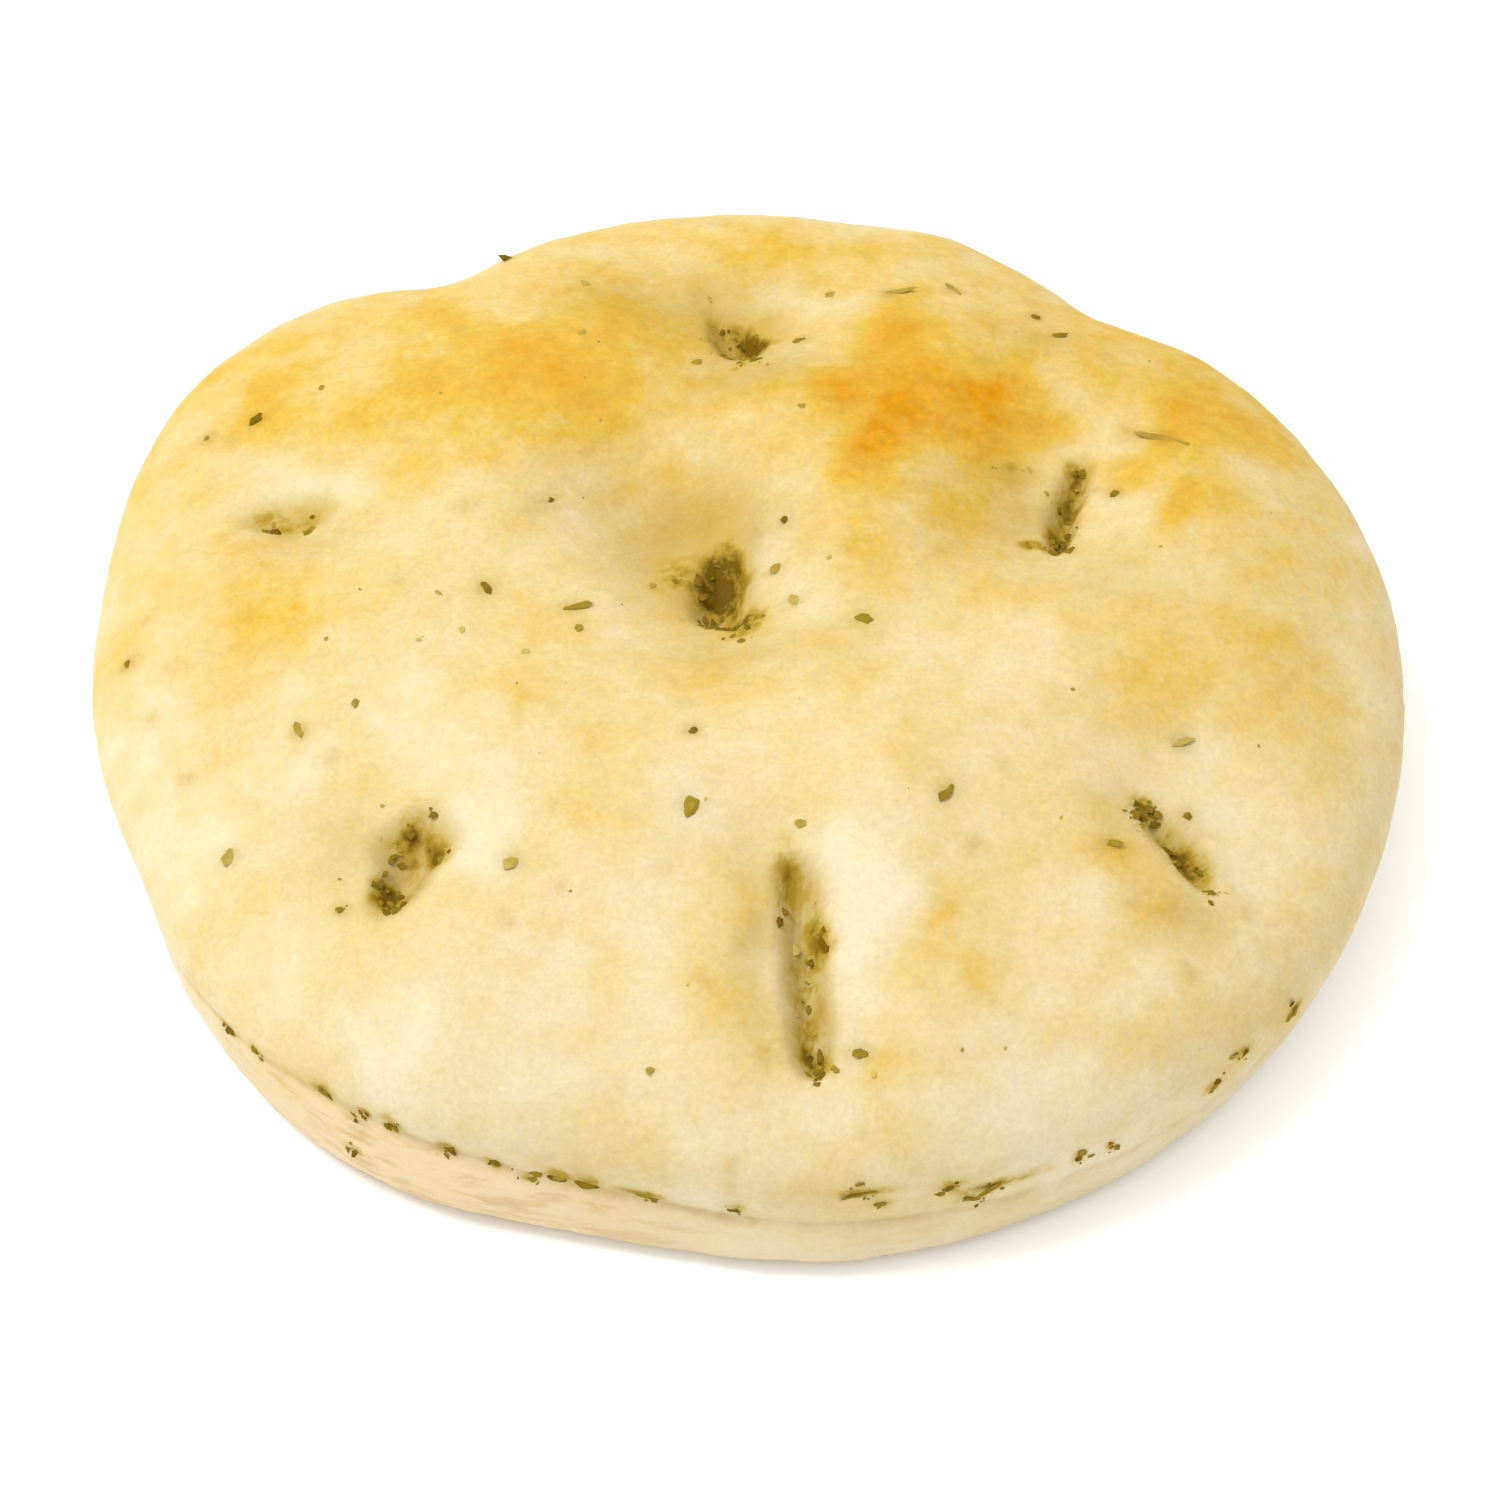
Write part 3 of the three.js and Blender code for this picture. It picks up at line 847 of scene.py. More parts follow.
@dataclass(frozen=True)
class RosemaryFinish:
    """Dried rosemary, from near black through olive to straw."""

    dark: Triple = (0.115, 0.067, 0.005)
    olive: Triple = (0.22, 0.15, 0.015)
    straw: Triple = (0.40, 0.30, 0.08)
    dark_at: float = 0.1
    olive_at: float = 0.5
    straw_at: float = 0.95
    mottle_scales: Triple = (300.0, 900.0, 2500.0)
    mottle: float = 0.5
    roughness: float = 0.8
    specular: float = 0.0
    bump_strength: float = 0.3
    bump_distance: float = 0.1 * MM

    def material(self) -> bpy.types.Material:
        """Makes the rosemary's material.

        Returns:
            The material, which reads each piece's tone.
        """
        graph = Surface("dried_rosemary")
        mottled = graph.mottled(graph.place(), self.mottle_scales)
        shade = graph.plus(graph.own("tone"), graph.times(mottled["Mottle"], self.mottle), clamp=True)
        stops = {self.dark_at: self.dark, self.olive_at: self.olive, self.straw_at: self.straw}
        graph.shade({"Base Color": graph.ramp(shade, stops), "Roughness": self.roughness})
        graph.shade({"Specular IOR Level": self.specular})
        graph.roughen(mottled["Height"], self.bump_strength, self.bump_distance)
        return graph.material


def mesh_object(name: str, points: Array, faces: Faces) -> Thing:
    """Makes a mesh object in the scene.

    Args:
        name: The object's name.
        points: Its vertices, in metres.
        faces: Its faces as vertex numbers.

    Returns:
        The object.
    """
    mesh = bpy.data.meshes.new(name)
    mesh.from_pydata(points.tolist(), [], faces)
    mesh.update()
    piece = bpy.data.objects.new(name, mesh)
    bpy.context.scene.collection.objects.link(piece)
    return piece


def node_modifier(piece: Thing, tree: Tree, values: dict[str, Any]) -> None:
    """Puts a Geometry Nodes tree on a piece and sets its named inputs.

    Args:
        piece: The piece.
        tree: The tree.
        values: Values by the input's name.
    """
    modifier = piece.modifiers.new(tree.name, "NODES")
    modifier.node_group = tree
    for item in tree.interface.items_tree:
        if item.item_type == "SOCKET" and item.in_out == "INPUT" and item.name in values:
            modifier[item.identifier] = values[item.name]


def settle_mesh(piece: Thing, smooth: bool) -> None:
    """Turns what a piece's modifiers make into its own plain mesh.

    Args:
        piece: The piece.
        smooth: Whether its faces are shaded smooth.
    """
    bpy.context.view_layer.update()
    graph = bpy.context.evaluated_depsgraph_get()
    plain = bpy.data.meshes.new_from_object(piece.evaluated_get(graph), depsgraph=graph)
    piece.modifiers.clear()
    old = piece.data
    piece.data = plain
    bpy.data.meshes.remove(old)
    plain.name = piece.name
    plain.polygons.foreach_set("use_smooth", np.full(len(plain.polygons), smooth))
    plain.update()


def relief_tree() -> Tree:
    """Makes the Geometry Nodes tree that roughens the crust and wrinkles the foot.

    Returns:
        The tree, whose heights and scales are named inputs.
    """
    details = {"Blister": 2.0, "Pore": 1.0, "Wrinkle": 3.0}
    sizes = [f"{name} {size}" for name in details for size in ("Height", "Scale")]
    inputs = {"Geometry": "Geometry", **dict.fromkeys(sizes, "Float")}
    inputs.update({"Wrinkle Stretch": "Vector", "Seed": "Float", "Finish": "Material"})
    graph, given = new_group("crust_relief", "GeometryNodeTree", inputs, {"Geometry": "Geometry"})
    seed = graph.add("ShaderNodeCombineXYZ", {0: given["Seed"]}).outputs[0]
    place = graph.vector("ADD", graph.add("GeometryNodeInputPosition").outputs[0], seed)
    stretched = graph.vector("MULTIPLY", place, given["Wrinkle Stretch"])
    heights = {}
    for name, detail in details.items():
        noise = graph.noise(stretched if name == "Wrinkle" else place, given[f"{name} Scale"], detail)
        heights[name] = graph.times(graph.minus(noise, 0.5), given[f"{name} Height"])
    total = graph.plus(heights["Blister"], heights["Pore"])
    total = graph.plus(total, graph.times(heights["Wrinkle"], graph.named("lip")))
    total = graph.times(total, graph.minus(1.0, graph.named("under")))
    offset = graph.scaled(graph.add("GeometryNodeInputNormal").outputs[0], total)
    moved = graph.add("GeometryNodeSetPosition", {"Geometry": given["Geometry"], "Offset": offset})
    graph.end(moved.outputs[0], given["Finish"])
    return graph.tree


@dataclass
class Loaf:
    """The baked loaf: one closed skin over the dome, the side and the underside.

    Sizes are in millimetres, and scales in features per metre.
    """

    shape: LoafShape
    finish: CrustFinish
    herb_places: tuple[Spot, ...] = ()
    trails: tuple[Trail, ...] = ()
    side_bits: tuple[SideBit, ...] = ()
    trail_half: float = 0.85
    trail_strength: float = 0.42
    trail_palest: float = 0.95
    halo: float = 1.3
    halo_strength: float = 0.85
    cells: int = 240
    side_rings: tuple[float, ...] = (
        1.75, 1.5, 1.3, 1.17, 1.08, 1.0, 0.94, 0.88, 0.8, 0.72,
        0.63, 0.54, 0.45, 0.36, 0.28, 0.21, 0.15, 0.1, 0.05, 0.0,
    )
    base_rings: tuple[float, ...] = (0.985, 0.94, 0.8, 0.55, 0.28)
    patches: tuple[Patch, ...] = (
        Patch("back left gold", -24, 36.5, 17, 14, 0.31),
        Patch("hot spot", 17.8, 23.2, 6.6, 8, 0.53),
        Patch("upper hot spot", 21.5, 42, 4.5, 7, 0.1),
        Patch("right of the back pit", 24, 30, 14, 12, 0.42),
        Patch("olive gold", 34.5, 36, 6, 8, 0.31),
        Patch("right back", 50, 17.5, 7.5, 8, 0.37),
        Patch("right back rim", 58, 32, 8, 12, 0.38),
        Patch("back right rim", 27, 57, 9, 7, 0.05),
        Patch("left back", -57, 33, 6, 8, 0.29),
        Patch("left", -56, 0, 8, 10, 0.29),
        Patch("left back, in front", -48, 31, 7, 5, 0.12),
        Patch("in front of the back left gold", -37, 22.5, 10, 5, 0.14),
        Patch("above the right back pit", 43.5, 28, 5, 4.5, -0.25),
        Patch("left rim", -69.5, 26.5, 6, 9, 0.06),
        Patch("back rim", 4.5, 62, 8, 6, 0.03),
        Patch("back left rim", -43, 51.5, 10, 7, -0.02),
        Patch("right", 50, -9, 12, 9, 0.24),
        Patch("between the middle and the right", 30, 2, 14, 6, 0.12),
        Patch("right side", 68, -16, 8, 10, 0.19),
        Patch("below the right pit", 46, -43, 6, 6, 0.33),
        Patch("right front", 48, -53, 12, 8, 0.01),
        Patch("below the middle pit", 0, -14, 15, 6, 0.08),
        Patch("middle band", 0, -18, 45, 16, 0.07),
        Patch("left of the front", -21, -33, 8, 6, 0.13),
        Patch("right of the middle", 14, 10, 9, 9, 0.2),
        Patch("left of the groove", 0, -52, 5, 15, 0.12),
        Patch("front yellow", 22.5, -46, 3.5, 3.6, 0.36),
        Patch("front orange", 24.5, -53.5, 3.5, 3.6, 0.23),
        Patch("front low", 18.5, -65, 3.5, 3, 0.29),
        Patch("left of the middle", -26.5, -17, 2.6, 3, 0.2),
        Patch("right edge", 67, -2.5, 7, 9, 0.1),
        Patch("left front pale", -62, -33, 10, 10, -0.16),
        Patch("left front rim", -28, -62, 18, 10, -0.15),
        Patch("right front rim", 36, -68, 20, 8, -0.22),
        # Painted highlights: these negative patches paint the pit walls that face the lamp paler.
        Patch("wall right of the middle pit", 6, 4, 4.5, 9, -0.23),
        Patch("wall right of the back pit", 10, 50, 6, 4, -0.27),
        Patch("above the left pit", -51, 20.5, 7, 4, -0.36),
        Patch("wall right of the right back pit", 44.5, 16, 3.5, 7, -0.33),
        Patch("above the right pit", 53, -25, 7, 6, -0.1),
        Patch("wall right of the left front pit", -29.5, -36, 5, 7, -0.28),
        Patch("wall right of the groove", 13, -44, 4.5, 15, -0.28),
    )
    # Painted shade in the hollows round the pits, on their shaded slopes.
    shade_patches: tuple[Patch, ...] = (
        Patch("above the middle pit", -6, 11, 10, 10, 1),
        Patch("round the middle pit", -2, 2, 7, 9, 0.6),
        Patch("below the middle pit", 0, -10, 10, 5, 0.45),
        Patch("above the back pit", -8, 52, 14, 7, 0.55),
        Patch("round the back pit", 0, 43, 8, 8, 0.45),
        Patch("below the back pit", 2, 35, 8, 5, 0.55),
        Patch("left pit", -51, 11, 9, 5, 0.4),
        Patch("left of the right back pit", 32, 15, 6, 8, 0.5),
        Patch("below the right back pit", 40, 3, 9, 5, 0.3),
        Patch("end of the right pit", 51, -43, 6, 4, 0.45),
        Patch("left of the right pit", 43, -31, 4, 6, 0.35),
        Patch("left of the groove", 2.5, -48, 3.5, 13, 0.45),
        Patch("left of the left front pit", -43.5, -36, 6, 7, 0.5),
        Patch("back right rim", 38, 45, 9, 5, 0.35),
        Patch("left of the middle pit", -6.8, 6, 2.6, 3.6, 0.55),
        Patch("right edge of the middle pit", 1.4, 7.6, 1.2, 3.5, 0.6),
        Patch("close above the back pit", -4.6, 53.6, 3, 3, 0.5),
        Patch("right of the back pit", 3.5, 46.5, 2.5, 3, 0.3),
        Patch("left above the right back pit", 32.8, 22.3, 3.4, 2.6, 0.6),
        Patch("close left of the right back pit", 35, 13, 2.5, 5, 0.3),
        Patch("above the left pit", -54.5, 18.3, 5, 2, 0.45),
        Patch("above the right pit", 51, -31, 2.5, 2.5, 0.4),
        Patch("right of the right pit's end", 55, -37.5, 2.5, 2.5, 0.4),
        Patch("right of the groove, upper", 9.4, -42, 1.5, 3, 0.3),
        Patch("left of the groove, middle", 3, -50.4, 2.5, 4, 0.35),
        Patch("right of the groove, lower", 12, -61.3, 3, 2, 0.45),
    )
    stains: tuple[float, ...] = (0.58, 0.38, 0.32, 0.33, 0.33, 0.33, 0.35)
    # Oil pooled in the pits; the two patches on the middle pit's upper wall are painted shade.
    oil_pools_and_shade: tuple[Patch, ...] = (
        Patch("middle pit, upper wall", -2, 8.2, 1.6, 2.2, 0.35),
        Patch("middle pit, wall", -1.7, 4.6, 2.4, 3, 0.45),
        Patch("middle pit, left haze", -7.2, 6.8, 3, 3.4, 0.24),
        Patch("middle pit, far left haze", -9, 3, 2.6, 2, 0.16),
        Patch("middle pit, front rim", -0.4, -6.9, 2.2, 1, 0.55),
        Patch("middle pit, front", 0.6, -3, 3, 1.5, 0.5),
        Patch("middle pit, front right", 1.6, -5.2, 2, 1.4, 0.55),
        Patch("middle pit, front left", -3.4, -1, 2, 2.2, -0.35),
        Patch("back pit, wall", 1.5, 45.5, 2.5, 2, 0.45),
        Patch("back pit, right", 4.1, 43.3, 1.6, 1.2, 0.4),
        Patch("back pit, front", 0.7, 36.8, 2, 2, 0.35),
        Patch("left pit", -53, 15.8, 3, 1.5, 0.2),
        Patch("left pit, left", -56.4, 17.2, 1.5, 1.5, 0.25),
        Patch("left front pit, top", -36, -34.5, 1.6, 2, 0.35),
        Patch("left front pit, right", -32.8, -36.9, 1.3, 1.3, 0.4),
        Patch("left front pit, bottom", -38.6, -41.2, 2.2, 1.5, 0.45),
        Patch("right pit, upper end", 46, -28.8, 1.6, 1.2, 0.3),
        Patch("right pit, middle", 50.7, -35, 2.4, 1.6, 0.35),
        Patch("right back pit, bottom", 38, 11, 1.8, 3, 0.3),
        Patch("right back pit, left", 34.8, 9.8, 1.8, 1.5, 0.4),
        Patch("left front pit, above", -35.6, -30.3, 1.3, 2.2, 0.22),
        Patch("right back pit, wall", 40.2, 20, 1.6, 5, 0.28),
        Patch("right back pit, upper left", 33.4, 23, 3, 1.7, 0.42),
        Patch("groove, top", 5.6, -39.5, 1.6, 3.2, 0.32),
        Patch("groove, above", 5.2, -36.5, 1.2, 1.8, 0.2),
        Patch("groove, upper", 9.6, -49.1, 1.2, 2, 0.3),
        Patch("groove, lower", 7.9, -60, 1.3, 2.5, 0.2),
    )
    smudges: int = 110
    smudge_reach: float = 0.97
    smudge_least: float = 0.6
    smudge_most: float = 1.7
    smudge_strength: float = 0.6
    smudge_seed: int = 11
    smear_along: float = 0.8
    smear_up: float = 0.9
    smear_least: float = 0.3
    smear_rise: float = 0.5
    smear_strength: float = 0.62
    toasted_share: float = 0.1
    folds_deg: float = 236.0
    folds_half_deg: float = 20.0
    folds_least: float = 0.3
    lip_from: float = -0.6
    lip_to: float = 0.8
    blister_height: float = 0.7
    blister_scale: float = 110.0
    pore_height: float = 0.16
    pore_scale: float = 520.0
    wrinkle_height: float = 1.6
    wrinkle_scale: float = 70.0
    wrinkle_stretch: Triple = (1.0, 1.0, 6.0)
    relief_seed: float = 3.0
    # Painted shade on the pit walls, fading out just past the rims.
    pit_shade: float = 0.6
    pit_shade_from: float = 0.8
    pit_shade_reach: float = 1.7
    stain_from: float = 0.4
    stain_reach: float = 1.4
    fan_strength: float = 0.4
    fan_full_sink: float = 6.5
    fan_from: float = 0.7
    fan_reach: float = 4.2
    fan_rays: int = 9
    fan_fine_rays: int = 14
    fan_plain: float = 0.6
    fan_ray: float = 0.2
    base_heat: float = 0.23
    back_heat: float = 0.22
    back_from: float = -25.0
    back_to: float = 60.0
    heat_low: float = 2.0
    heat_high: float = 16.0
    heat_warp: float = 1.3
    shade_warp: float = 0.4
    patch_warp_length: float = 19.0
    patch_phase_x: float = 1.3
    patch_phase_y: float = 4.1

    def build(self) -> Thing:
        """Builds the loaf's skin and roughens it.

        Returns:
            The dressed loaf.
        """
        points, faces, masks = self.skin()
        shift_x, shift_y = self.shape.plan_shift()
        piece = mesh_object("loaf_crust", (points + (shift_x, shift_y, 0.0)) * MM, faces)
        for name, values in masks.items():
            attribute = piece.data.attributes.new(name, "FLOAT", "POINT")
            attribute.data.foreach_set("value", values.astype(np.float32))
        relief = {
            "Blister Height": self.blister_height * MM,
            "Blister Scale": self.blister_scale,
            "Pore Height": self.pore_height * MM,
            "Pore Scale": self.pore_scale,
            "Wrinkle Height": self.wrinkle_height * MM,
            "Wrinkle Scale": self.wrinkle_scale,
            "Wrinkle Stretch": self.wrinkle_stretch,
            "Seed": self.relief_seed,
            "Finish": self.finish.material(),
        }
        node_modifier(piece, relief_tree(), relief)
        settle_mesh(piece, True)
        return piece

    def skin(self) -> tuple[Array, Faces, dict[str, Array]]:
        """Works out the closed skin.

        Returns:
            Vertices, faces, and masks at each vertex for the lip, the crease, the underside, how browned the
            crust is with its painted highlights, the pits, and oil with painted shade.
        """
        x, y, rim = self.top_grid()
        angle = np.arctan2(y[rim], x[rim])
        angle_deg = np.degrees(angle)
        strength = self.shape.crease_strength(angle_deg)
        folded = bump(degrees_apart(angle_deg, self.folds_deg), self.folds_half_deg)
        peach = (self.folds_least + (1.0 - self.folds_least) * folded) * strength
        rings = [np.stack([x, y, self.shape.pressed(x, y)], 1)]
        bands = {name: [np.zeros(len(x))] for name in ("lip", "crease", "under")}
        for share in self.side_rings:
            inset, height = self.shape.side(share, angle_deg)
            reach = self.shape.outline(angle_deg) - inset
            rings.append(np.stack([reach * np.cos(angle), reach * np.sin(angle), height], 1))
            above = height - self.shape.crease_height(angle_deg)
            bands["lip"].append(peach * (1.0 - smooth_step(above, self.lip_from, self.lip_to)))
            bands["crease"].append(strength * bump(above, self.shape.groove_half))
            bands["under"].append(np.full(len(angle), 1.0 - min(share / self.toasted_share, 1.0)))
        edge = rings[-1]
        rings.extend(edge * (share, share, 0.0) for share in self.base_rings)
        rings.append(np.zeros((1, 3)))
        points = np.concatenate(rings)
        below = len(self.base_rings) * len(angle) + 1
        masks = {}
        for name, band in bands.items():
            masks[name] = np.concatenate([*band, np.full(below, float(name == "under"))])
        pit = self.stained_and_shaded(x, y)
        masks["browning"] = self.heat_and_highlights(points)
        masks["pit"] = np.concatenate([pit, np.zeros(len(points) - len(pit))]) + self.smeared(points)
        masks["wash"] = self.oiled_and_shaded(points)
        return points, self.faces(rim, len(x), len(points) - 1), masks

    def top_grid(self) -> tuple[Array, Array, Array]:
        """Lays a square grid concentrically over the dome.

        Returns:
            Plan places along X and Y, and the rim's vertex numbers anticlockwise from above.
        """
        steps = np.linspace(-1.0, 1.0, self.cells + 1)
        across, up = np.meshgrid(steps, steps)
        wide = np.abs(across) > np.abs(up)
        reach = np.where(wide, across, up)
        safe = np.where(reach == 0.0, 1.0, reach)
        turn = np.where(wide, np.pi / 4 * up / safe, np.pi / 2 - np.pi / 4 * across / safe)
        unit_x = (reach * np.cos(turn)).ravel()
        unit_y = (reach * np.sin(turn)).ravel()
        angle = np.arctan2(unit_y, unit_x)
        slope = np.minimum(np.hypot(unit_x, unit_y), 1.0) * np.pi / 2
        share = np.sin(slope) ** (2.0 / self.shape.crown_flatness)
        plan = share * self.shape.dome_outline(np.degrees(angle))
        number = np.arange((self.cells + 1) ** 2).reshape(self.cells + 1, self.cells + 1)
        rim = np.concatenate([number[0, :-1], number[:-1, -1], number[-1, :0:-1], number[:0:-1, 0]])
        return plan * np.cos(angle), plan * np.sin(angle), rim

    def heat_and_highlights(self, points: Array) -> Array:
        """Gives how much the oven browned each point, made paler where patches paint highlights on the pit
        walls that face the lamp.

        Args:
            points: Vertices.

        Returns:
            Heat from 0, pale, to 1, amber.
        """
        heat_and_highlights = self.base_heat + self.back_heat * smooth_step(points[:, 1], self.back_from, self.back_to)
        heat_and_highlights = heat_and_highlights + self.patched(points, self.patches, self.heat_warp)
        return np.clip(heat_and_highlights * smooth_step(points[:, 2], self.heat_low, self.heat_high), 0.0, 1.0)

    def patched(self, points: Array, patches: tuple[Patch, ...], warp: float) -> Array:
        """Adds up soft patches, whose edges wander.

        Args:
            points: Vertices.
            patches: The patches.
            warp: How far the edges wander.

        Returns:
            Their sum at each point.
        """
        x, y, _ = points.T
        moved_x = x + warp * self.shape.ripple(x, y, self.patch_warp_length, self.patch_phase_x)
        moved_y = y + warp * self.shape.ripple(x, y, self.patch_warp_length, self.patch_phase_y)
        return sum(patch.over(moved_x, moved_y) for patch in patches)

    def oiled_and_shaded(self, points: Array) -> Array:
        """Gives how far each point is darkened: painted shade in and round the pits and in the shade patches,
        and oil round the flakes and in smudges.

        Args:
            points: Vertices.

        Returns:
            Shares from 0 to 1.
        """
        x, y, _ = points.T
        wash = np.maximum(self.patched(points, self.shade_patches, self.shade_warp), self.halos(points))
        wash = np.maximum(wash, self.smudged(points))
        # Painted shade on the pit walls.
        for dimple in self.shape.dimples:
            dry = smooth_step(self.shape.pit_level(dimple, x, y), self.pit_shade_from, self.pit_shade_reach)
            wash = np.maximum(wash, self.pit_shade * (1.0 - dry))
        return np.minimum(wash, 1.0)

    def smudged(self, points: Array) -> Array:
        """Gives the faint oily smudges that lie all over the crust, by seeded draws.

        Args:
            points: Vertices.

        Returns:
            Shares from 0 to the strongest smudge's.
        """
        draw = np.random.default_rng(self.smudge_seed)
        smudged = np.zeros(len(points))
        for _ in range(self.smudges):
            angle = 2.0 * math.pi * draw.random()
            reach = self.smudge_reach * self.shape.radius * math.sqrt(draw.random())
            half = draw.uniform(self.smudge_least, self.smudge_most)
            strength = self.smudge_strength * draw.random()
            x = points[:, 0] - reach * math.cos(angle)
            y = points[:, 1] - reach * math.sin(angle)
            smudged = np.maximum(smudged, strength * bump(np.hypot(x, y), half))
        return smudged

    def halos(self, points: Array) -> Array:
        """Gives how far oil has spread from the flakes on the open crust.

        Args:
            points: Vertices.

        Returns:
            Shares from 0 to the halo's strength.
        """
        nearest = np.full(len(points), self.shape.radius)
        for x, y in self.herb_places:
            nearest = np.minimum(nearest, np.hypot(points[:, 0] - x, points[:, 1] - y))
        return self.halo_strength * bump(nearest, self.halo)

    def stained_and_shaded(self, x: Array, y: Array) -> Array:
        """Gives how far oil and crumbled herbs darken the pits, with painted shade on the middle pit's upper
        wall.

        Args:
            x: Places along X.
            y: Places along Y.

        Returns:
            Shares from 0 on the open crust to 1 at the darkest.
        """
        stained_and_shaded = np.zeros_like(x)
        for dimple, strength in zip(self.shape.dimples, self.stains):
            soaked = 1.0 - smooth_step(self.shape.pit_level(dimple, x, y), self.stain_from, self.stain_reach)
            stained_and_shaded = np.maximum(stained_and_shaded, np.maximum(strength * soaked, self.fanned(dimple, x, y)))
        stained_and_shaded = stained_and_shaded + sum(dark_patch.over(x, y) for dark_patch in self.oil_pools_and_shade)
        for trail in self.trails:
            strength = self.trail_strength * (self.trail_palest - trail.tone)
            stained_and_shaded = stained_and_shaded + strength * bump(trail.distance(x, y), self.trail_half)
        return stained_and_shaded

    def smeared(self, points: Array) -> Array:
        """Gives the oily smears round the rosemary on the loaf's side.

        Args:
            points: Vertices.

        Returns:
            Shares from 0 to the smears' strength.
        """
        angle_deg = np.degrees(np.arctan2(points[:, 1], points[:, 0]))
        reach = np.hypot(points[:, 0], points[:, 1])
        crease = self.shape.crease_height(angle_deg)
        smeared = np.zeros(len(points))
        for bit in self.side_bits:
            along = np.radians(degrees_apart(angle_deg, bit.at_deg)) * reach / (self.smear_along * bit.length)
            middle = crease + bit.above + self.smear_rise * bit.width
            up = (points[:, 2] - middle) / (self.smear_up * bit.width + self.smear_least)
            smeared = np.maximum(smeared, self.smear_strength * bump(np.hypot(along, up), 1.0))
        return smeared

    def fanned(self, dimple: Dimple, x: Array, y: Array) -> Array:
        """Gives how far oil has run out of a pit in rays, most of it towards the pit's hollow.

        Args:
            dimple: The pit's dimple.
            x: Places along X.
            y: Places along Y.

        Returns:
            Shares from 0 to the fan's strength.
        """
        angle = np.arctan2(y - dimple.y, x - dimple.x)
        towards = 0.5 + 0.5 * np.cos(angle - math.atan2(dimple.lean_y, dimple.lean_x))
        wide_rays = np.cos(self.fan_rays * angle + dimple.x)
        fine_rays = np.cos(self.fan_fine_rays * angle + dimple.y)
        rays = self.fan_plain + self.fan_ray * wide_rays + self.fan_ray * fine_rays
        fading = 1.0 - smooth_step(self.shape.pit_level(dimple, x, y), self.fan_from, self.fan_reach)
        return self.fan_strength * dimple.sink / self.fan_full_sink * towards * rays * fading

    def faces(self, rim: Array, top_count: int, last: int) -> Faces:
        """Joins the grid, the rings and the underside's middle.

        Args:
            rim: The grid's rim.
            top_count: How many vertices the grid has.
            last: The number of the underside's middle vertex.

        Returns:
            Faces that look outwards.
        """
        number = np.arange(top_count).reshape(self.cells + 1, self.cells + 1)
        corners = (number[:-1, :-1], number[:-1, 1:], number[1:, 1:], number[1:, :-1])
        faces = [tuple(face) for face in np.stack([corner.ravel() for corner in corners], 1).tolist()]
        upper = rim
        for start in range(top_count, last, len(rim)):
            lower = np.arange(start, start + len(rim))
            quads = np.stack([upper, lower, np.roll(lower, -1), np.roll(upper, -1)], 1)
            faces.extend(tuple(face) for face in quads.tolist())
            upper = lower
        faces.extend((int(a), last, int(b)) for a, b in zip(upper, np.roll(upper, -1)))
        return faces


class Herb(Enum):
    """The kinds of rosemary on the loaf."""

    FLAKE = "rosemary_flakes"
    NEEDLE = "rosemary_needles"
    SPECK = "rosemary_specks"


@dataclass(frozen=True)
class Blade:
    """The unit form of one kind of rosemary: a closed leaf along X, with its bend and how far that dips."""

    stations: int
    sides: int
    bend: float
    bluntness: float
    dip: float = 0.4

    def build(self, name: str) -> Thing:
        """Builds the unit leaf.

        Args:
            name: The object's name.

        Returns:
            The leaf, 1 m long, wide and thick.
        """
        points = [(-0.5, 0.0, self.lift(-0.5))]
        for i in range(1, self.stations + 1):
            along = i / (self.stations + 1) - 0.5
            half = 0.5 * (1.0 - abs(2.0 * along) ** self.bluntness) ** 0.5
            for j in range(self.sides):
                turn = 2.0 * math.pi * j / self.sides
                points.append((along, half * math.cos(turn), half * math.sin(turn) + self.lift(along)))
        points.append((0.5, 0.0, self.lift(0.5)))
        last = len(points) - 1
        faces: Faces = []
        for j in range(self.sides):
            near = (j + 1) % self.sides
            faces.append((0, 1 + near, 1 + j))
            for i in range(self.stations - 1):
                ring = 1 + i * self.sides
                faces.append((ring + j, ring + near, ring + self.sides + near, ring + self.sides + j))
            ring = 1 + (self.stations - 1) * self.sides
            faces.append((last, ring + j, ring + near))
        return mesh_object(name, np.array(points), faces)

    def lift(self, along: float) -> float:
        """Gives how far the leaf's middle line rises at a place along it."""
        return self.bend * (4.0 * along * along - self.dip)


@dataclass
class Sprig:
    """One bit of rosemary on its way to the crust. Millimetres."""

    origin: Triple
    ray: Triple
    heading: Triple
    length: float
    width: float
    tone: float


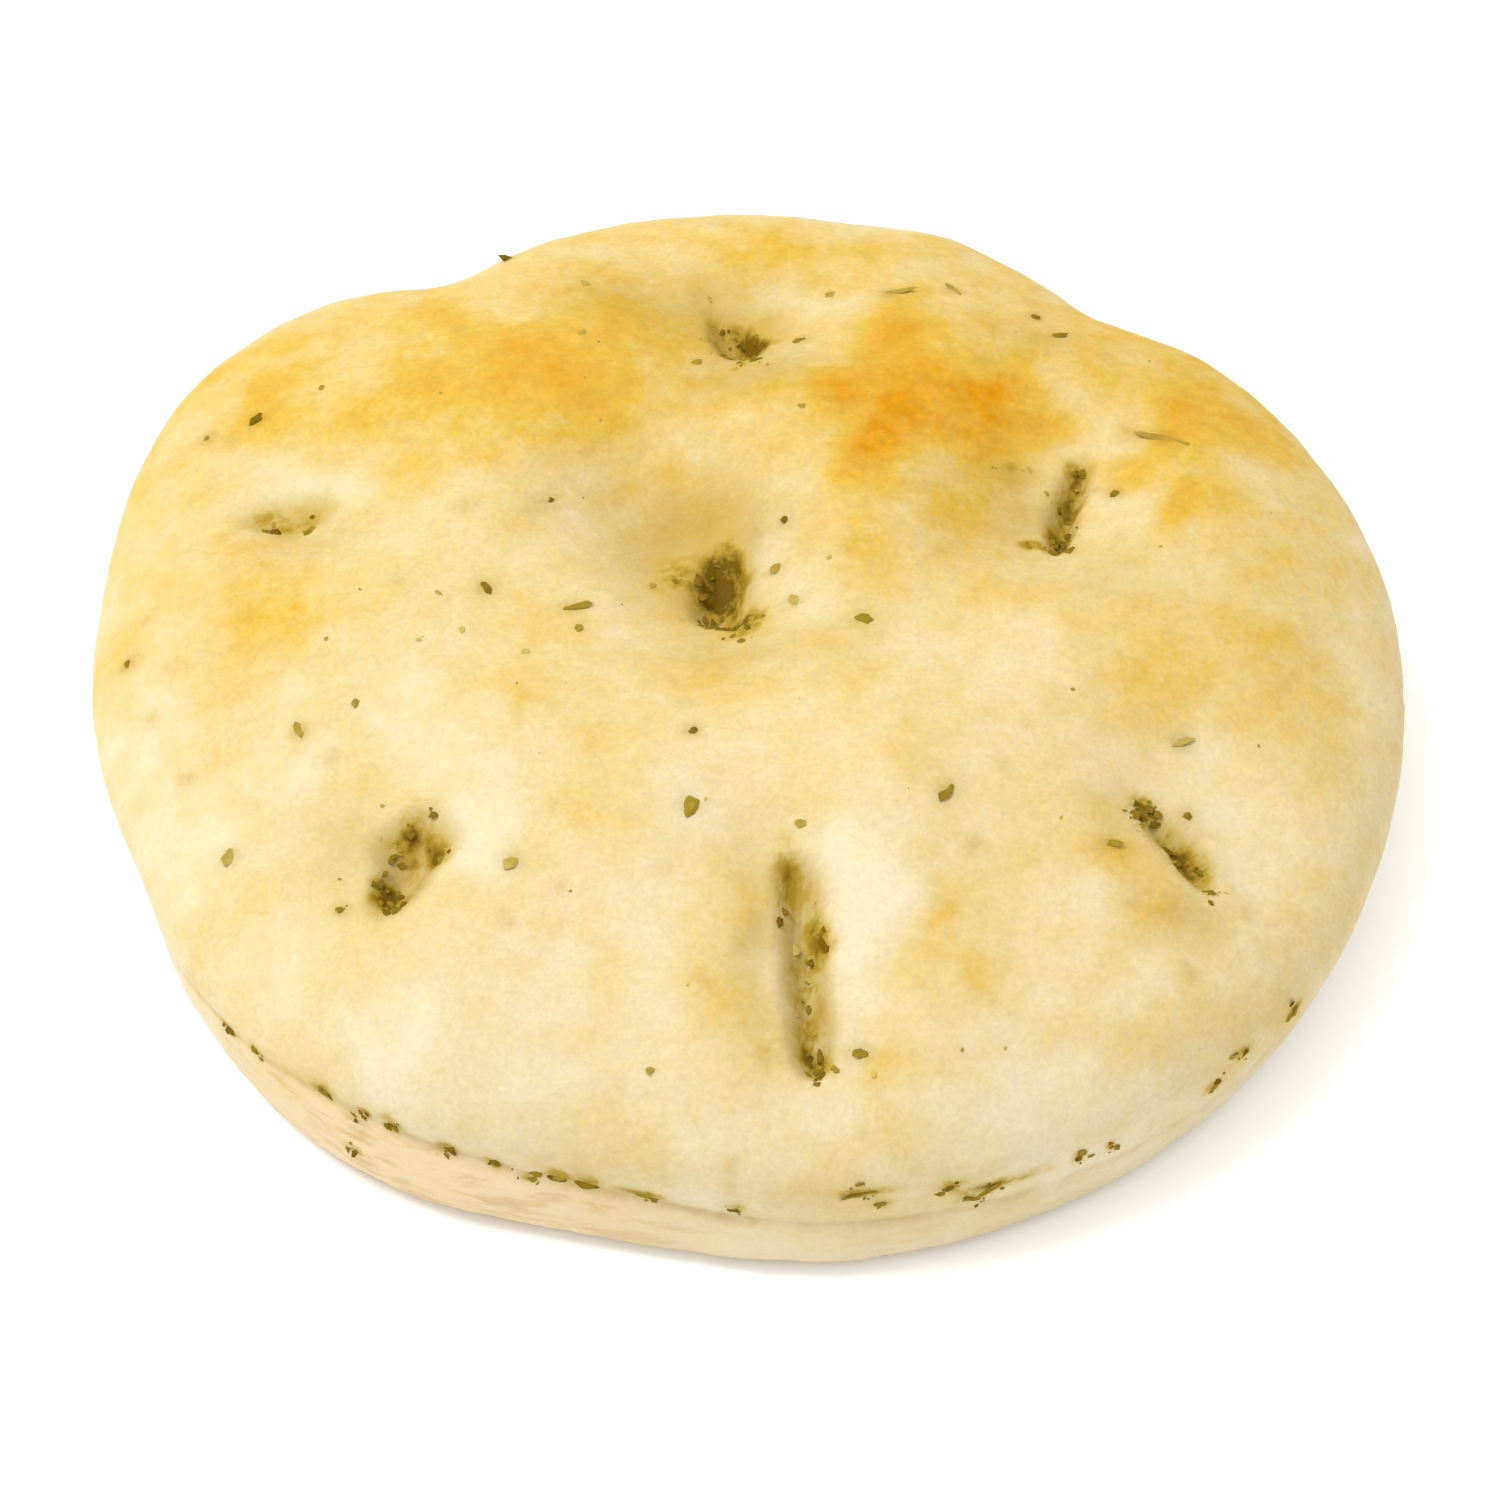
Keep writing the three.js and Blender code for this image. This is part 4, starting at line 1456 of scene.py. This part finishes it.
def scatter_tree() -> Tree:
    """Makes the Geometry Nodes tree that lays rosemary on the crust along its rays.

    Returns:
        The tree, whose crust, leaf, sizes, seed and finish are named inputs.
    """
    inputs = {"Geometry": "Geometry", "Crust": "Object", "Leaf": "Object"}
    inputs.update(dict.fromkeys(("Sink", "Tilt", "Ragged Size", "Ragged Scale"), "Float"))
    inputs.update({"Seed": "Int", "Finish": "Material"})
    graph, given = new_group("rosemary_scatter", "GeometryNodeTree", inputs, {"Geometry": "Geometry"})
    crust = graph.add("GeometryNodeObjectInfo", {"Object": given["Crust"]}).outputs["Geometry"]
    leaf = graph.add("GeometryNodeObjectInfo", {"Object": given["Leaf"]}).outputs["Geometry"]
    place = graph.add("GeometryNodeInputPosition").outputs[0]
    cast = graph.add("GeometryNodeRaycast", {"Target Geometry": crust, "Source Position": place})
    graph.feed(cast.inputs["Ray Direction"], graph.named("ray", "FLOAT_VECTOR"))
    graph.feed(cast.inputs["Ray Length"], 1.0)
    normal = cast.outputs["Hit Normal"]
    size = graph.named("size", "FLOAT_VECTOR")
    thick = graph.add("ShaderNodeSeparateXYZ", {0: size}).outputs[2]
    depth = graph.times(thick, graph.times(given["Sink"], -1.0))
    landed = graph.vector("ADD", cast.outputs["Hit Position"], graph.scaled(normal, depth))
    points = graph.add("GeometryNodeMeshToPoints", {"Mesh": given["Geometry"]}).outputs[0]
    laid = graph.add("GeometryNodeSetPosition", {"Geometry": points, "Position": landed}).outputs[0]
    wobble = graph.add("FunctionNodeRandomValue", {"Seed": given["Seed"]}, data_type="FLOAT_VECTOR")
    wobble.inputs[0].default_value = (-1.0, -1.0, -1.0)
    wobble.inputs[1].default_value = (1.0, 1.0, 1.0)
    leaning = graph.vector("ADD", normal, graph.scaled(wobble.outputs[0], given["Tilt"]))
    stance = graph.add("FunctionNodeAxesToRotation", primary_axis="Z", secondary_axis="X")
    graph.feed(stance.inputs[0], leaning)
    graph.feed(stance.inputs[1], graph.named("heading", "FLOAT_VECTOR"))
    inputs = {"Points": laid, "Instance": leaf, "Rotation": stance.outputs[0], "Scale": size}
    placed = graph.add("GeometryNodeInstanceOnPoints", inputs).outputs[0]
    real = graph.add("GeometryNodeRealizeInstances", {"Geometry": placed}).outputs[0]
    tears = graph.add("ShaderNodeTexNoise", {"Vector": place, "Scale": given["Ragged Scale"]})
    ragged = graph.vector("SUBTRACT", tears.outputs["Color"], (0.5, 0.5, 0.5))
    offset = graph.scaled(ragged, given["Ragged Size"])
    torn = graph.add("GeometryNodeSetPosition", {"Geometry": real, "Offset": offset}).outputs[0]
    graph.end(torn, given["Finish"])
    return graph.tree


@dataclass
class Rosemary:
    """The dried rosemary: broken flakes, whole needles and fine specks stuck to the crust.

    Sizes are in millimetres, and tones go from 0, dark, to 1, straw.
    """

    shape: LoafShape
    finish: RosemaryFinish
    seed: int = 41
    shortest: float = 1.2
    longest: float = 2.4
    slimmest: float = 0.4
    widest: float = 0.65
    open_reach: float = 0.9
    needle_slimness: float = 0.3
    clump_half_deg: float = 60.0
    clump_from: float = 0.3
    clump_to: float = 1.0
    pit_spread: float = 0.9
    pit_crumbs: int = 1
    side_crumbs: int = 5
    crumb_spread: float = 0.7
    open_specks: int = 60
    speck_least: float = 0.5
    speck_most: float = 2.0
    speck_seed: int = 5
    speck_widths: Span = (0.5, 0.9)
    crumb_tones: Span = (0.1, 0.6)
    trail_tones: Span = (0.0, 0.2)
    open_tones: Span = (0.45, 1.0)
    side_tones: tuple[float, ...] = (0.15, 0.3, 0.45)
    pit_tones: tuple[float, ...] = (0.15, 0.22, 0.29, 0.36)
    thick_share: float = 0.3
    thinnest: float = 0.2
    thickest: float = 0.4
    sink_share: float = 0.2
    tilt: float = 0.05
    ragged_size: float = 0.7
    ragged_scale: float = 900.0
    standouts: tuple[Standout, ...] = (
        Standout(-58, 32.5, 2.9, 1.5, 42, 0.1),
        Standout(-29, -0.5, 2.7, 1.2, -53, 0.2),
        Standout(-19, -3, 5.4, 1.1, 16, 0.45),
        Standout(14.5, -6.5, 2.9, 1.6, 0, 0.45),
        Standout(7, -3.2, 2.6, 1.4, -60, 0.75),
        Standout(27, 53.5, 3.4, 1.1, -57, 0.6),
        Standout(19, 51, 7.2, 0.8, 17, 0.6),
        Standout(39.5, 46, 3.4, 1.1, 25, 0.35),
        Standout(-29, 65, 3.4, 1.1, -25, 0.3),
        Standout(51.5, 27, 7.9, 0.9, -19, 0.6),
        Standout(23.5, -31.5, 3.5, 1.6, 66, 0.35),
        Standout(-5, -33, 3.6, 2, 74, 0.5),
        Standout(-24.5, -39.5, 3.1, 1.6, 57, 0.75),
        Standout(-56.5, -34.5, 3.1, 1.6, 62, 0.65),
        Standout(41.5, -36, 3.5, 0.9, 0, 0.5),
        Standout(-49.5, -19, 2.9, 1.1, -66, 0.6),
        Standout(50.5, -20, 4, 1.2, 13, 0.7),
        Standout(-22.2, 15.1, 1.6, 1.2, 20, 0.05),
        Standout(5.9, 10.3, 1.5, 1.1, 0, 0.15),
        Standout(4.9, 3, 2.2, 1.6, 30, 0.6),
        Standout(37, 50.4, 1.9, 1.3, -30, 0.2),
        Standout(45.1, 17.7, 1.5, 1.2, 40, 0.3),
        Standout(42, 23.6, 2, 1.3, -20, 0.2),
        Standout(-4.8, -22.5, 1.6, 1.2, 60, 0.2),
        Standout(48.4, -32.9, 2.2, 1.6, -50, 0.1),
        Standout(50.8, -29.5, 1.5, 1.2, 0, 0.3),
        Standout(-36.1, -33.3, 1.8, 1.2, 80, 0.2),
        Standout(-43.4, -43.6, 1.7, 1.1, 15, 0.3),
        Standout(4.8, -46.4, 1.7, 1.3, 90, 0.1),
        Standout(9.9, -49.3, 2.4, 1.4, -60, 0.15),
        Standout(13.7, -61.8, 2.2, 1.3, 10, 0.4),
        Standout(8, 41.7, 2.4, 1, 5, 0.4),
        Standout(-64.1, 31.1, 1.7, 1, 30, 0.4),
        Standout(-71, -3.7, 1.5, 1, 60, 0.4),
    )
    trails: tuple[Trail, ...] = (
        Trail("middle pit, core", -3.7, 3.6, -0.8, 2.6, 6, 0.05),
        Trail("middle pit, front", -0.6, -5.0, 2.0, -5.7, 6, 0.1),
        Trail("middle pit, front right", 1.8, -5.2, 3.3, -4.7, 2, 0.2),
        Trail("middle pit, front left", -4.4, -1.2, -2.8, -4.2, 4, 0.2),
        Trail("middle pit, below", 0.3, -8.0, 1.5, -8.5, 2, 0.4),
        Trail("middle pit, upper wall", -1.8, 9.2, -2.6, 6.2, 3, 0.2),
        Trail("middle pit, right wall", -0.1, 7.2, 0.6, 3.6, 2, 0.3),
        Trail("middle pit, left", -7.9, 5.3, -6.5, 3.9, 2, 0.3),
        Trail("middle pit, far left", -10.0, 3.9, -7.9, 2.5, 2, 0.6),
        Trail("back pit, upper left", -3.4, 49.2, 0.0, 47.8, 6, 0.1),
        Trail("back pit, left", -4.0, 45.0, -2.3, 47.0, 2, 0.15),
        Trail("back pit, middle", 0.7, 47.1, 2.7, 43.4, 5, 0.1),
        Trail("back pit, right", 2.7, 43.4, 5.1, 42.5, 4, 0.15),
        Trail("back pit, front", 0.2, 37.2, 0.8, 38.6, 4, 0.15),
        Trail("back pit, far right", 7.3, 42.0, 9.3, 41.8, 2, 0.45),
        Trail("back pit, far left", -5.3, 56.0, -3.4, 52.9, 2, 0.55),
        Trail("back pit, front right", 3.6, 37.5, 4.1, 35.3, 2, 0.5),
        Trail("right back pit, top", 40.2, 24.4, 42.3, 23.4, 4, 0.15),
        Trail("right back pit, bottom", 36.8, 13.5, 39.6, 12.2, 5, 0.15),
        Trail("right back pit, foot", 37.1, 9.6, 40.1, 6.6, 4, 0.2),
        Trail("right back pit, foot left", 33.5, 10.1, 36.1, 9.1, 2, 0.25),
        Trail("right back pit, wall", 41.2, 23.3, 39.3, 16.9, 4, 0.5),
        Trail("right back pit, upper left", 30.6, 21.9, 31.4, 22.0, 2, 0.4),
        Trail("right back pit, left", 33.1, 23.5, 35.8, 23.1, 3, 0.6),
        Trail("right back pit, beside", 37.3, 19.1, 37.8, 19.2, 2, 0.5),
        Trail("right pit, top", 45.0, -28.8, 46.3, -29.9, 5, 0.1),
        Trail("right pit, upper", 48.1, -32.5, 49.6, -34.4, 4, 0.15),
        Trail("right pit, lower", 49.6, -34.4, 52.7, -35.9, 6, 0.12),
        Trail("right pit, lower edge", 50.6, -35.9, 52.3, -36.8, 2, 0.25),
        Trail("right pit, end", 52.6, -40.0, 55.0, -38.9, 3, 0.6),
        Trail("left front pit, top", -36.5, -32.9, -35.8, -33.6, 2, 0.2),
        Trail("left front pit, middle", -37.8, -34.6, -36.0, -35.3, 4, 0.4),
        Trail("left front pit, right", -33.9, -34.6, -32.4, -38.0, 5, 0.4),
        Trail("left front pit, clump", -39.9, -40.0, -38.1, -40.3, 6, 0.2),
        Trail("left front pit, foot", -40.1, -42.6, -38.3, -41.2, 3, 0.3),
        Trail("left front pit, edge", -40.4, -44.6, -38.5, -43.5, 2, 0.5),
        Trail("left front pit, far left", -43.9, -43.4, -42.5, -43.6, 2, 0.3),
        Trail("groove, upper right", 8.6, -46.3, 10.4, -49.8, 3, 0.1),
        Trail("groove, middle", 7.3, -51.0, 8.0, -52.5, 3, 0.4),
        Trail("groove, lower left", 7.8, -60.0, 8.8, -62.3, 4, 0.25),
        Trail("groove, lower right", 9.5, -61.4, 10.5, -63.8, 3, 0.3),
        Trail("groove, lower", 7.1, -54.7, 8.4, -58.1, 3, 0.55),
        Trail("left pit", -55.9, 16.8, -50.4, 14.4, 3, 0.7),
    )
    trail_spread: float = 0.35
    trail_crumb: float = 0.75
    side_bits: tuple[SideBit, ...] = (
        SideBit(222, -0.5, 2.9, 0.9, 75),
        SideBit(226, 0, 1.4, 0.8, 0),
        SideBit(233.5, 0.3, 2.4, 1.6, -25),
        SideBit(236.5, -7, 2.4, 0.8, 75),
        SideBit(237.5, 0.5, 1.5, 0.7, -20),
        SideBit(240, 0.3, 2, 1.5, -50),
        SideBit(245, 0, 2.4, 1.1, -15),
        SideBit(249, 0, 1.8, 1.1, 0),
        SideBit(252, -0.8, 2, 0.7, 0),
        SideBit(254.5, 0, 3.4, 1.6, 0),
        SideBit(257, 0.5, 2.9, 1.9, 10),
        SideBit(262, 0.8, 4.4, 0.7, -10),
        SideBit(270, 1.5, 1.8, 0.7, 0),
        SideBit(280.5, 5.5, 5, 0.6, 8),
        SideBit(282, 3.5, 1.9, 0.9, 0),
        SideBit(288, 4.5, 2.4, 1, 0),
        SideBit(290, 1.5, 3, 0.8, -25),
        SideBit(292, 3.5, 7.5, 0.8, 4),
        SideBit(299, 3.5, 1.2, 1, 0),
        SideBit(302, 3, 1.1, 0.8, 0),
        SideBit(312, 3.5, 2.2, 0.9, 25),
        SideBit(315.5, 5.5, 2, 0.7, 30),
        SideBit(322, 4.5, 2.6, 0.7, 25),
    )

    def build(self, crust: Thing) -> list[Thing]:
        """Builds one piece for each kind of rosemary.

        Args:
            crust: The finished loaf.

        Returns:
            The pieces.
        """
        blades = {
            Herb.FLAKE: Blade(stations=3, sides=6, bend=0.12, bluntness=2.6),
            Herb.NEEDLE: Blade(stations=6, sides=6, bend=0.25, bluntness=3.0),
            Herb.SPECK: Blade(stations=2, sides=5, bend=0.0, bluntness=2.0),
        }
        tree = scatter_tree()
        finish = self.finish.material()
        sprigs = self.sprigs()
        pieces = []
        for herb, blade in blades.items():
            leaf = blade.build(f"{herb.value}_unit")
            piece = self.point_object(herb, sprigs[herb])
            values = {
                "Crust": crust,
                "Leaf": leaf,
                "Sink": self.sink_share,
                "Tilt": self.tilt,
                "Ragged Size": self.ragged_size * MM,
                "Ragged Scale": self.ragged_scale,
                "Seed": self.seed,
                "Finish": finish,
            }
            node_modifier(piece, tree, values)
            settle_mesh(piece, False)
            bpy.data.objects.remove(leaf)
            pieces.append(piece)
        return pieces

    def point_object(self, herb: Herb, sprigs: list[Sprig]) -> Thing:
        """Makes the points that the scatter starts from.

        Args:
            herb: The kind.
            sprigs: The bits of that kind.

        Returns:
            An object of loose points with their rays, headings, sizes and tones.
        """
        shift_x, shift_y = self.shape.plan_shift()
        origins = np.array([sprig.origin for sprig in sprigs]) + (shift_x, shift_y, 0.0)
        piece = mesh_object(herb.value, origins * MM, [])
        width = np.array([sprig.width for sprig in sprigs])
        thick = np.clip(self.thick_share * width, self.thinnest, self.thickest)
        vectors = {
            "ray": np.array([sprig.ray for sprig in sprigs]),
            "heading": np.array([sprig.heading for sprig in sprigs]),
            "size": np.stack([[sprig.length for sprig in sprigs], width, thick], 1) * MM,
        }
        for name, values in vectors.items():
            attribute = piece.data.attributes.new(name, "FLOAT_VECTOR", "POINT")
            attribute.data.foreach_set("vector", values.astype(np.float32).ravel())
        tone = piece.data.attributes.new("tone", "FLOAT", "POINT")
        tone.data.foreach_set("value", np.array([sprig.tone for sprig in sprigs], np.float32))
        return piece

    def above(self, x: float, y: float, turn_deg: float) -> dict[str, Triple]:
        """Gives a ray down on a plan place, and the heading of the bit that it lays.

        Args:
            x: The place along X.
            y: The place along Y.
            turn_deg: The bit's direction in plan.

        Returns:
            The ray's origin and direction, and the heading.
        """
        turn = math.radians(turn_deg)
        return {
            "origin": (x, y, 2.0 * self.shape.height),
            "ray": (0.0, 0.0, -1.0),
            "heading": (math.cos(turn), math.sin(turn), 0.0),
        }

    def beside(self, angle_deg: float, height: float, tilt_deg: float) -> dict[str, Triple]:
        """Gives a level ray in at the loaf's side, and the heading of the bit that it lays.

        Args:
            angle_deg: The direction that it comes from.
            height: Its height above the table.
            tilt_deg: How far the bit climbs as it runs on round the side.

        Returns:
            The ray's origin and direction, and the heading.
        """
        out_x = math.cos(math.radians(angle_deg))
        out_y = math.sin(math.radians(angle_deg))
        far = 2.0 * self.shape.radius
        run = math.cos(math.radians(tilt_deg))
        return {
            "origin": (far * out_x, far * out_y, height),
            "ray": (-out_x, -out_y, 0.0),
            "heading": (-run * out_y, run * out_x, math.sin(math.radians(tilt_deg))),
        }

    def sprigs(self) -> dict[Herb, list[Sprig]]:
        """Places all the rosemary, the larger bits where the solid loaf has them.

        Returns:
            The bits of each kind.
        """
        placed = []
        for seen in self.standouts:
            ray = self.above(seen.x, seen.y, seen.turn_deg)
            placed.append(Sprig(**ray, length=seen.length, width=seen.width, tone=seen.tone))
        on_side = []
        for i, bit in enumerate(self.side_bits):
            height = float(self.shape.crease_height(np.array([bit.at_deg]))[0]) + bit.above
            ray = self.beside(bit.at_deg, height, bit.tilt_deg)
            tone = self.side_tones[i % len(self.side_tones)]
            on_side.append(Sprig(**ray, length=bit.length, width=bit.width, tone=tone))
        in_pits = list(self.pit_flakes(seeded_numbers(self.seed)))
        placed.extend(on_side + in_pits)
        kinds: dict[Herb, list[Sprig]] = {herb: [] for herb in Herb}
        for sprig in placed:
            slim = sprig.width < self.needle_slimness * sprig.length
            kinds[Herb.NEEDLE if slim else Herb.FLAKE].append(sprig)
        kinds[Herb.SPECK] = self.specks(on_side, in_pits)
        return kinds

    def open_places(self) -> tuple[Spot, ...]:
        """Gives the plan places of the flakes that stand out on the open crust."""
        return tuple((seen.x, seen.y) for seen in self.standouts)

    def pit_flakes(self, numbers: Iterator[float]) -> Iterator[Sprig]:
        """Draws the broken bits in the pits, every other one in the pit's clump.

        Args:
            numbers: The stream that they are drawn from.

        Returns:
            An iterator over the bits.
        """
        for dimple in self.shape.dimples:
            for i in range(dimple.flakes):
                x, y = self.spot_in(dimple, i % 2 == 0, next(numbers), next(numbers))
                yield self.broken_bit(x, y, numbers, self.pit_tones[i % len(self.pit_tones)])

    def broken_bit(self, x: float, y: float, numbers: Iterator[float], tone: float) -> Sprig:
        """Draws the size and turn of one broken bit.

        Args:
            x: Its place along X.
            y: Its place along Y.
            numbers: The stream that it draws from.
            tone: Its tone from 0, dark, to 1, straw.

        Returns:
            The bit.
        """
        length = self.shortest + (self.longest - self.shortest) * next(numbers)
        width = length * (self.slimmest + (self.widest - self.slimmest) * next(numbers))
        return Sprig(**self.above(x, y, 360.0 * next(numbers)), length=length, width=width, tone=tone)

    def spot_in(self, dimple: Dimple, clumped: bool, turn_share: float, reach_share: float) -> Spot:
        """Gives a plan place in a dimple's pit.

        Args:
            dimple: The dimple.
            clumped: Whether the place is in the pit's clump.
            turn_share: How far round the clump, or along the pit, it lies, from 0 to 1.
            reach_share: How far out in the clump, or across the pit, it lies, from 0 to 1.

        Returns:
            The place along X and Y.
        """
        if clumped:
            towards = dimple.clump_deg - dimple.turn_deg + self.clump_half_deg * (2.0 * turn_share - 1.0)
            level = self.clump_from + (self.clump_to - self.clump_from) * reach_share
            return self.shape.pit_place(dimple, math.radians(towards), level)
        along = self.pit_spread * dimple.length * (turn_share - 0.5)
        across = self.pit_spread * dimple.width * (reach_share - 0.5)
        turn = math.radians(dimple.turn_deg)
        x = dimple.x + along * math.cos(turn) - across * math.sin(turn)
        return x, dimple.y + along * math.sin(turn) + across * math.cos(turn)

    def specks(self, on_side: list[Sprig], in_pits: list[Sprig]) -> list[Sprig]:
        """Draws the fine specks: crumbs round some of the flakes, in trails, and on the open crust.

        Args:
            on_side: The flakes on the loaf's side, which shed most crumbs.
            in_pits: The flakes in the pits.

        Returns:
            The specks.
        """
        draw = np.random.default_rng(self.speck_seed)
        specks = []
        shedding = [(flake, self.side_crumbs) for flake in on_side]
        shedding.extend((flake, self.pit_crumbs) for flake in in_pits)
        for flake, crumbs in shedding:
            across = np.cross(flake.ray, flake.heading)
            for _ in range(crumbs):
                along, aside = draw.normal(0.0, self.crumb_spread, 2)
                origin = np.array(flake.origin) + along * np.array(flake.heading) + aside * across
                specks.append(self.speck(tuple(origin), flake.ray, draw, draw.uniform(*self.crumb_tones)))
        for trail in self.trails:
            for share in draw.random(trail.count):
                x = trail.from_x + share * (trail.to_x - trail.from_x) + draw.normal(0.0, self.trail_spread)
                y = trail.from_y + share * (trail.to_y - trail.from_y) + draw.normal(0.0, self.trail_spread)
                spot = self.above(x, y, 0.0)
                tone = trail.tone + draw.uniform(*self.trail_tones)
                specks.append(self.speck(spot["origin"], spot["ray"], draw, tone, self.trail_crumb))
        for _ in range(self.open_specks):
            angle = 2.0 * math.pi * draw.random()
            reach = self.open_reach * self.shape.radius * math.sqrt(draw.random())
            spot = self.above(reach * math.cos(angle), reach * math.sin(angle), 0.0)
            specks.append(self.speck(spot["origin"], spot["ray"], draw, draw.uniform(*self.open_tones)))
        return specks

    def speck(
        self, origin: Triple, ray: Triple, draw: np.random.Generator, tone: float, size: float = 1.0
    ) -> Sprig:
        """Draws the size and turn of one speck.

        Args:
            origin: Where its ray starts.
            ray: The ray's direction.
            draw: The generator that it draws from.
            tone: Its tone.
            size: The share of a speck's usual size.

        Returns:
            The speck.
        """
        length = self.speck_least + (self.speck_most - self.speck_least) * draw.random() ** 2
        width = length * draw.uniform(*self.speck_widths)
        heading = tuple(draw.normal(0.0, 1.0, 3))
        return Sprig(origin, ray, heading, size * length, size * width, tone)


@dataclass
class Studio:
    """A bright white table, a large soft lamp from the back left, and the camera. Metres."""

    elevation_deg: float = 50.0
    distance: float = 0.52
    pixels_per_metre: float = 8500.0
    target: Triple = (0.0003, -0.0107, 0.012)
    sensor: float = 36.0
    floor_half: float = 4.0
    floor_drop: float = 0.0002
    floor_white: float = 0.94
    floor_roughness: float = 0.8
    floor_specular: float = 0.1
    sky: float = 1.28
    lamp_from: Triple = (-0.55, 0.1, 1.0)
    lamp_size: float = 0.6
    lamp_watts: float = 10.5

    def build(self) -> None:
        """Builds the floor, the lights and the camera."""
        self.floor()
        self.lights()
        self.camera()
        bpy.context.scene.view_settings.view_transform = "Standard"

    def floor(self) -> None:
        """Lays a plain white floor just under the loaf."""
        half = self.floor_half
        corners = np.array([(-half, -half), (half, -half), (half, half), (-half, half)])
        points = np.column_stack([corners, np.full(4, -self.floor_drop)])
        floor = mesh_object("floor", points, [(0, 1, 2, 3)])
        table = Surface("white_table")
        table.shade({"Base Color": (self.floor_white, self.floor_white, self.floor_white, 1.0)})
        table.shade({"Roughness": self.floor_roughness, "Specular IOR Level": self.floor_specular})
        floor.data.materials.append(table.material)

    def lights(self) -> None:
        """Hangs the soft lamp and fills the rest with even white light."""
        world = bpy.data.worlds.new("white_room")
        world.use_nodes = True
        world.node_tree.nodes["Background"].inputs["Color"].default_value = WHITE
        world.node_tree.nodes["Background"].inputs["Strength"].default_value = self.sky
        bpy.context.scene.world = world
        lamp = bpy.data.lights.new("soft_lamp", "AREA")
        lamp.shape = "DISK"
        lamp.size = self.lamp_size
        lamp.energy = self.lamp_watts
        holder = bpy.data.objects.new("soft_lamp", lamp)
        holder.location = self.lamp_from
        holder.rotation_euler = Vector(self.lamp_from).to_track_quat("Z", "Y").to_euler()
        bpy.context.scene.collection.objects.link(holder)

    def camera(self) -> None:
        """Sets the camera at the photograph's viewing angle."""
        data = bpy.data.cameras.new("camera")
        data.sensor_width = self.sensor
        data.lens = self.sensor * self.pixels_per_metre * self.distance / PHOTO_SIDE
        holder = bpy.data.objects.new("camera", data)
        tilt = math.radians(self.elevation_deg)
        back = Vector((0.0, -math.cos(tilt), math.sin(tilt)))
        holder.location = Vector(self.target) + back * self.distance
        holder.rotation_euler = back.to_track_quat("Z", "Y").to_euler()
        bpy.context.scene.collection.objects.link(holder)
        bpy.context.scene.camera = holder


def report(piece: Thing) -> None:
    """Logs a piece's name and how many triangles it has."""
    triangles = sum(len(face.vertices) - 2 for face in piece.data.polygons)
    LOG.info("%s: %d triangles", piece.name, triangles)


def main() -> None:
    """Builds the loaf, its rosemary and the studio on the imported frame."""
    logging.basicConfig(level=logging.INFO, format="%(name)s %(message)s")
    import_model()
    mottle_group()
    shape = LoafShape()
    rosemary = Rosemary(shape, RosemaryFinish())
    herbs = (rosemary.open_places(), rosemary.trails, rosemary.side_bits)
    crust = Loaf(shape, CrustFinish(), *herbs).build()
    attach(crust, BODY)
    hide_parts(LOAF_NODE)
    report(crust)
    for piece in rosemary.build(crust):
        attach(piece, BODY)
        report(piece)
    Studio().build()


if __name__ == "__main__":
    main()
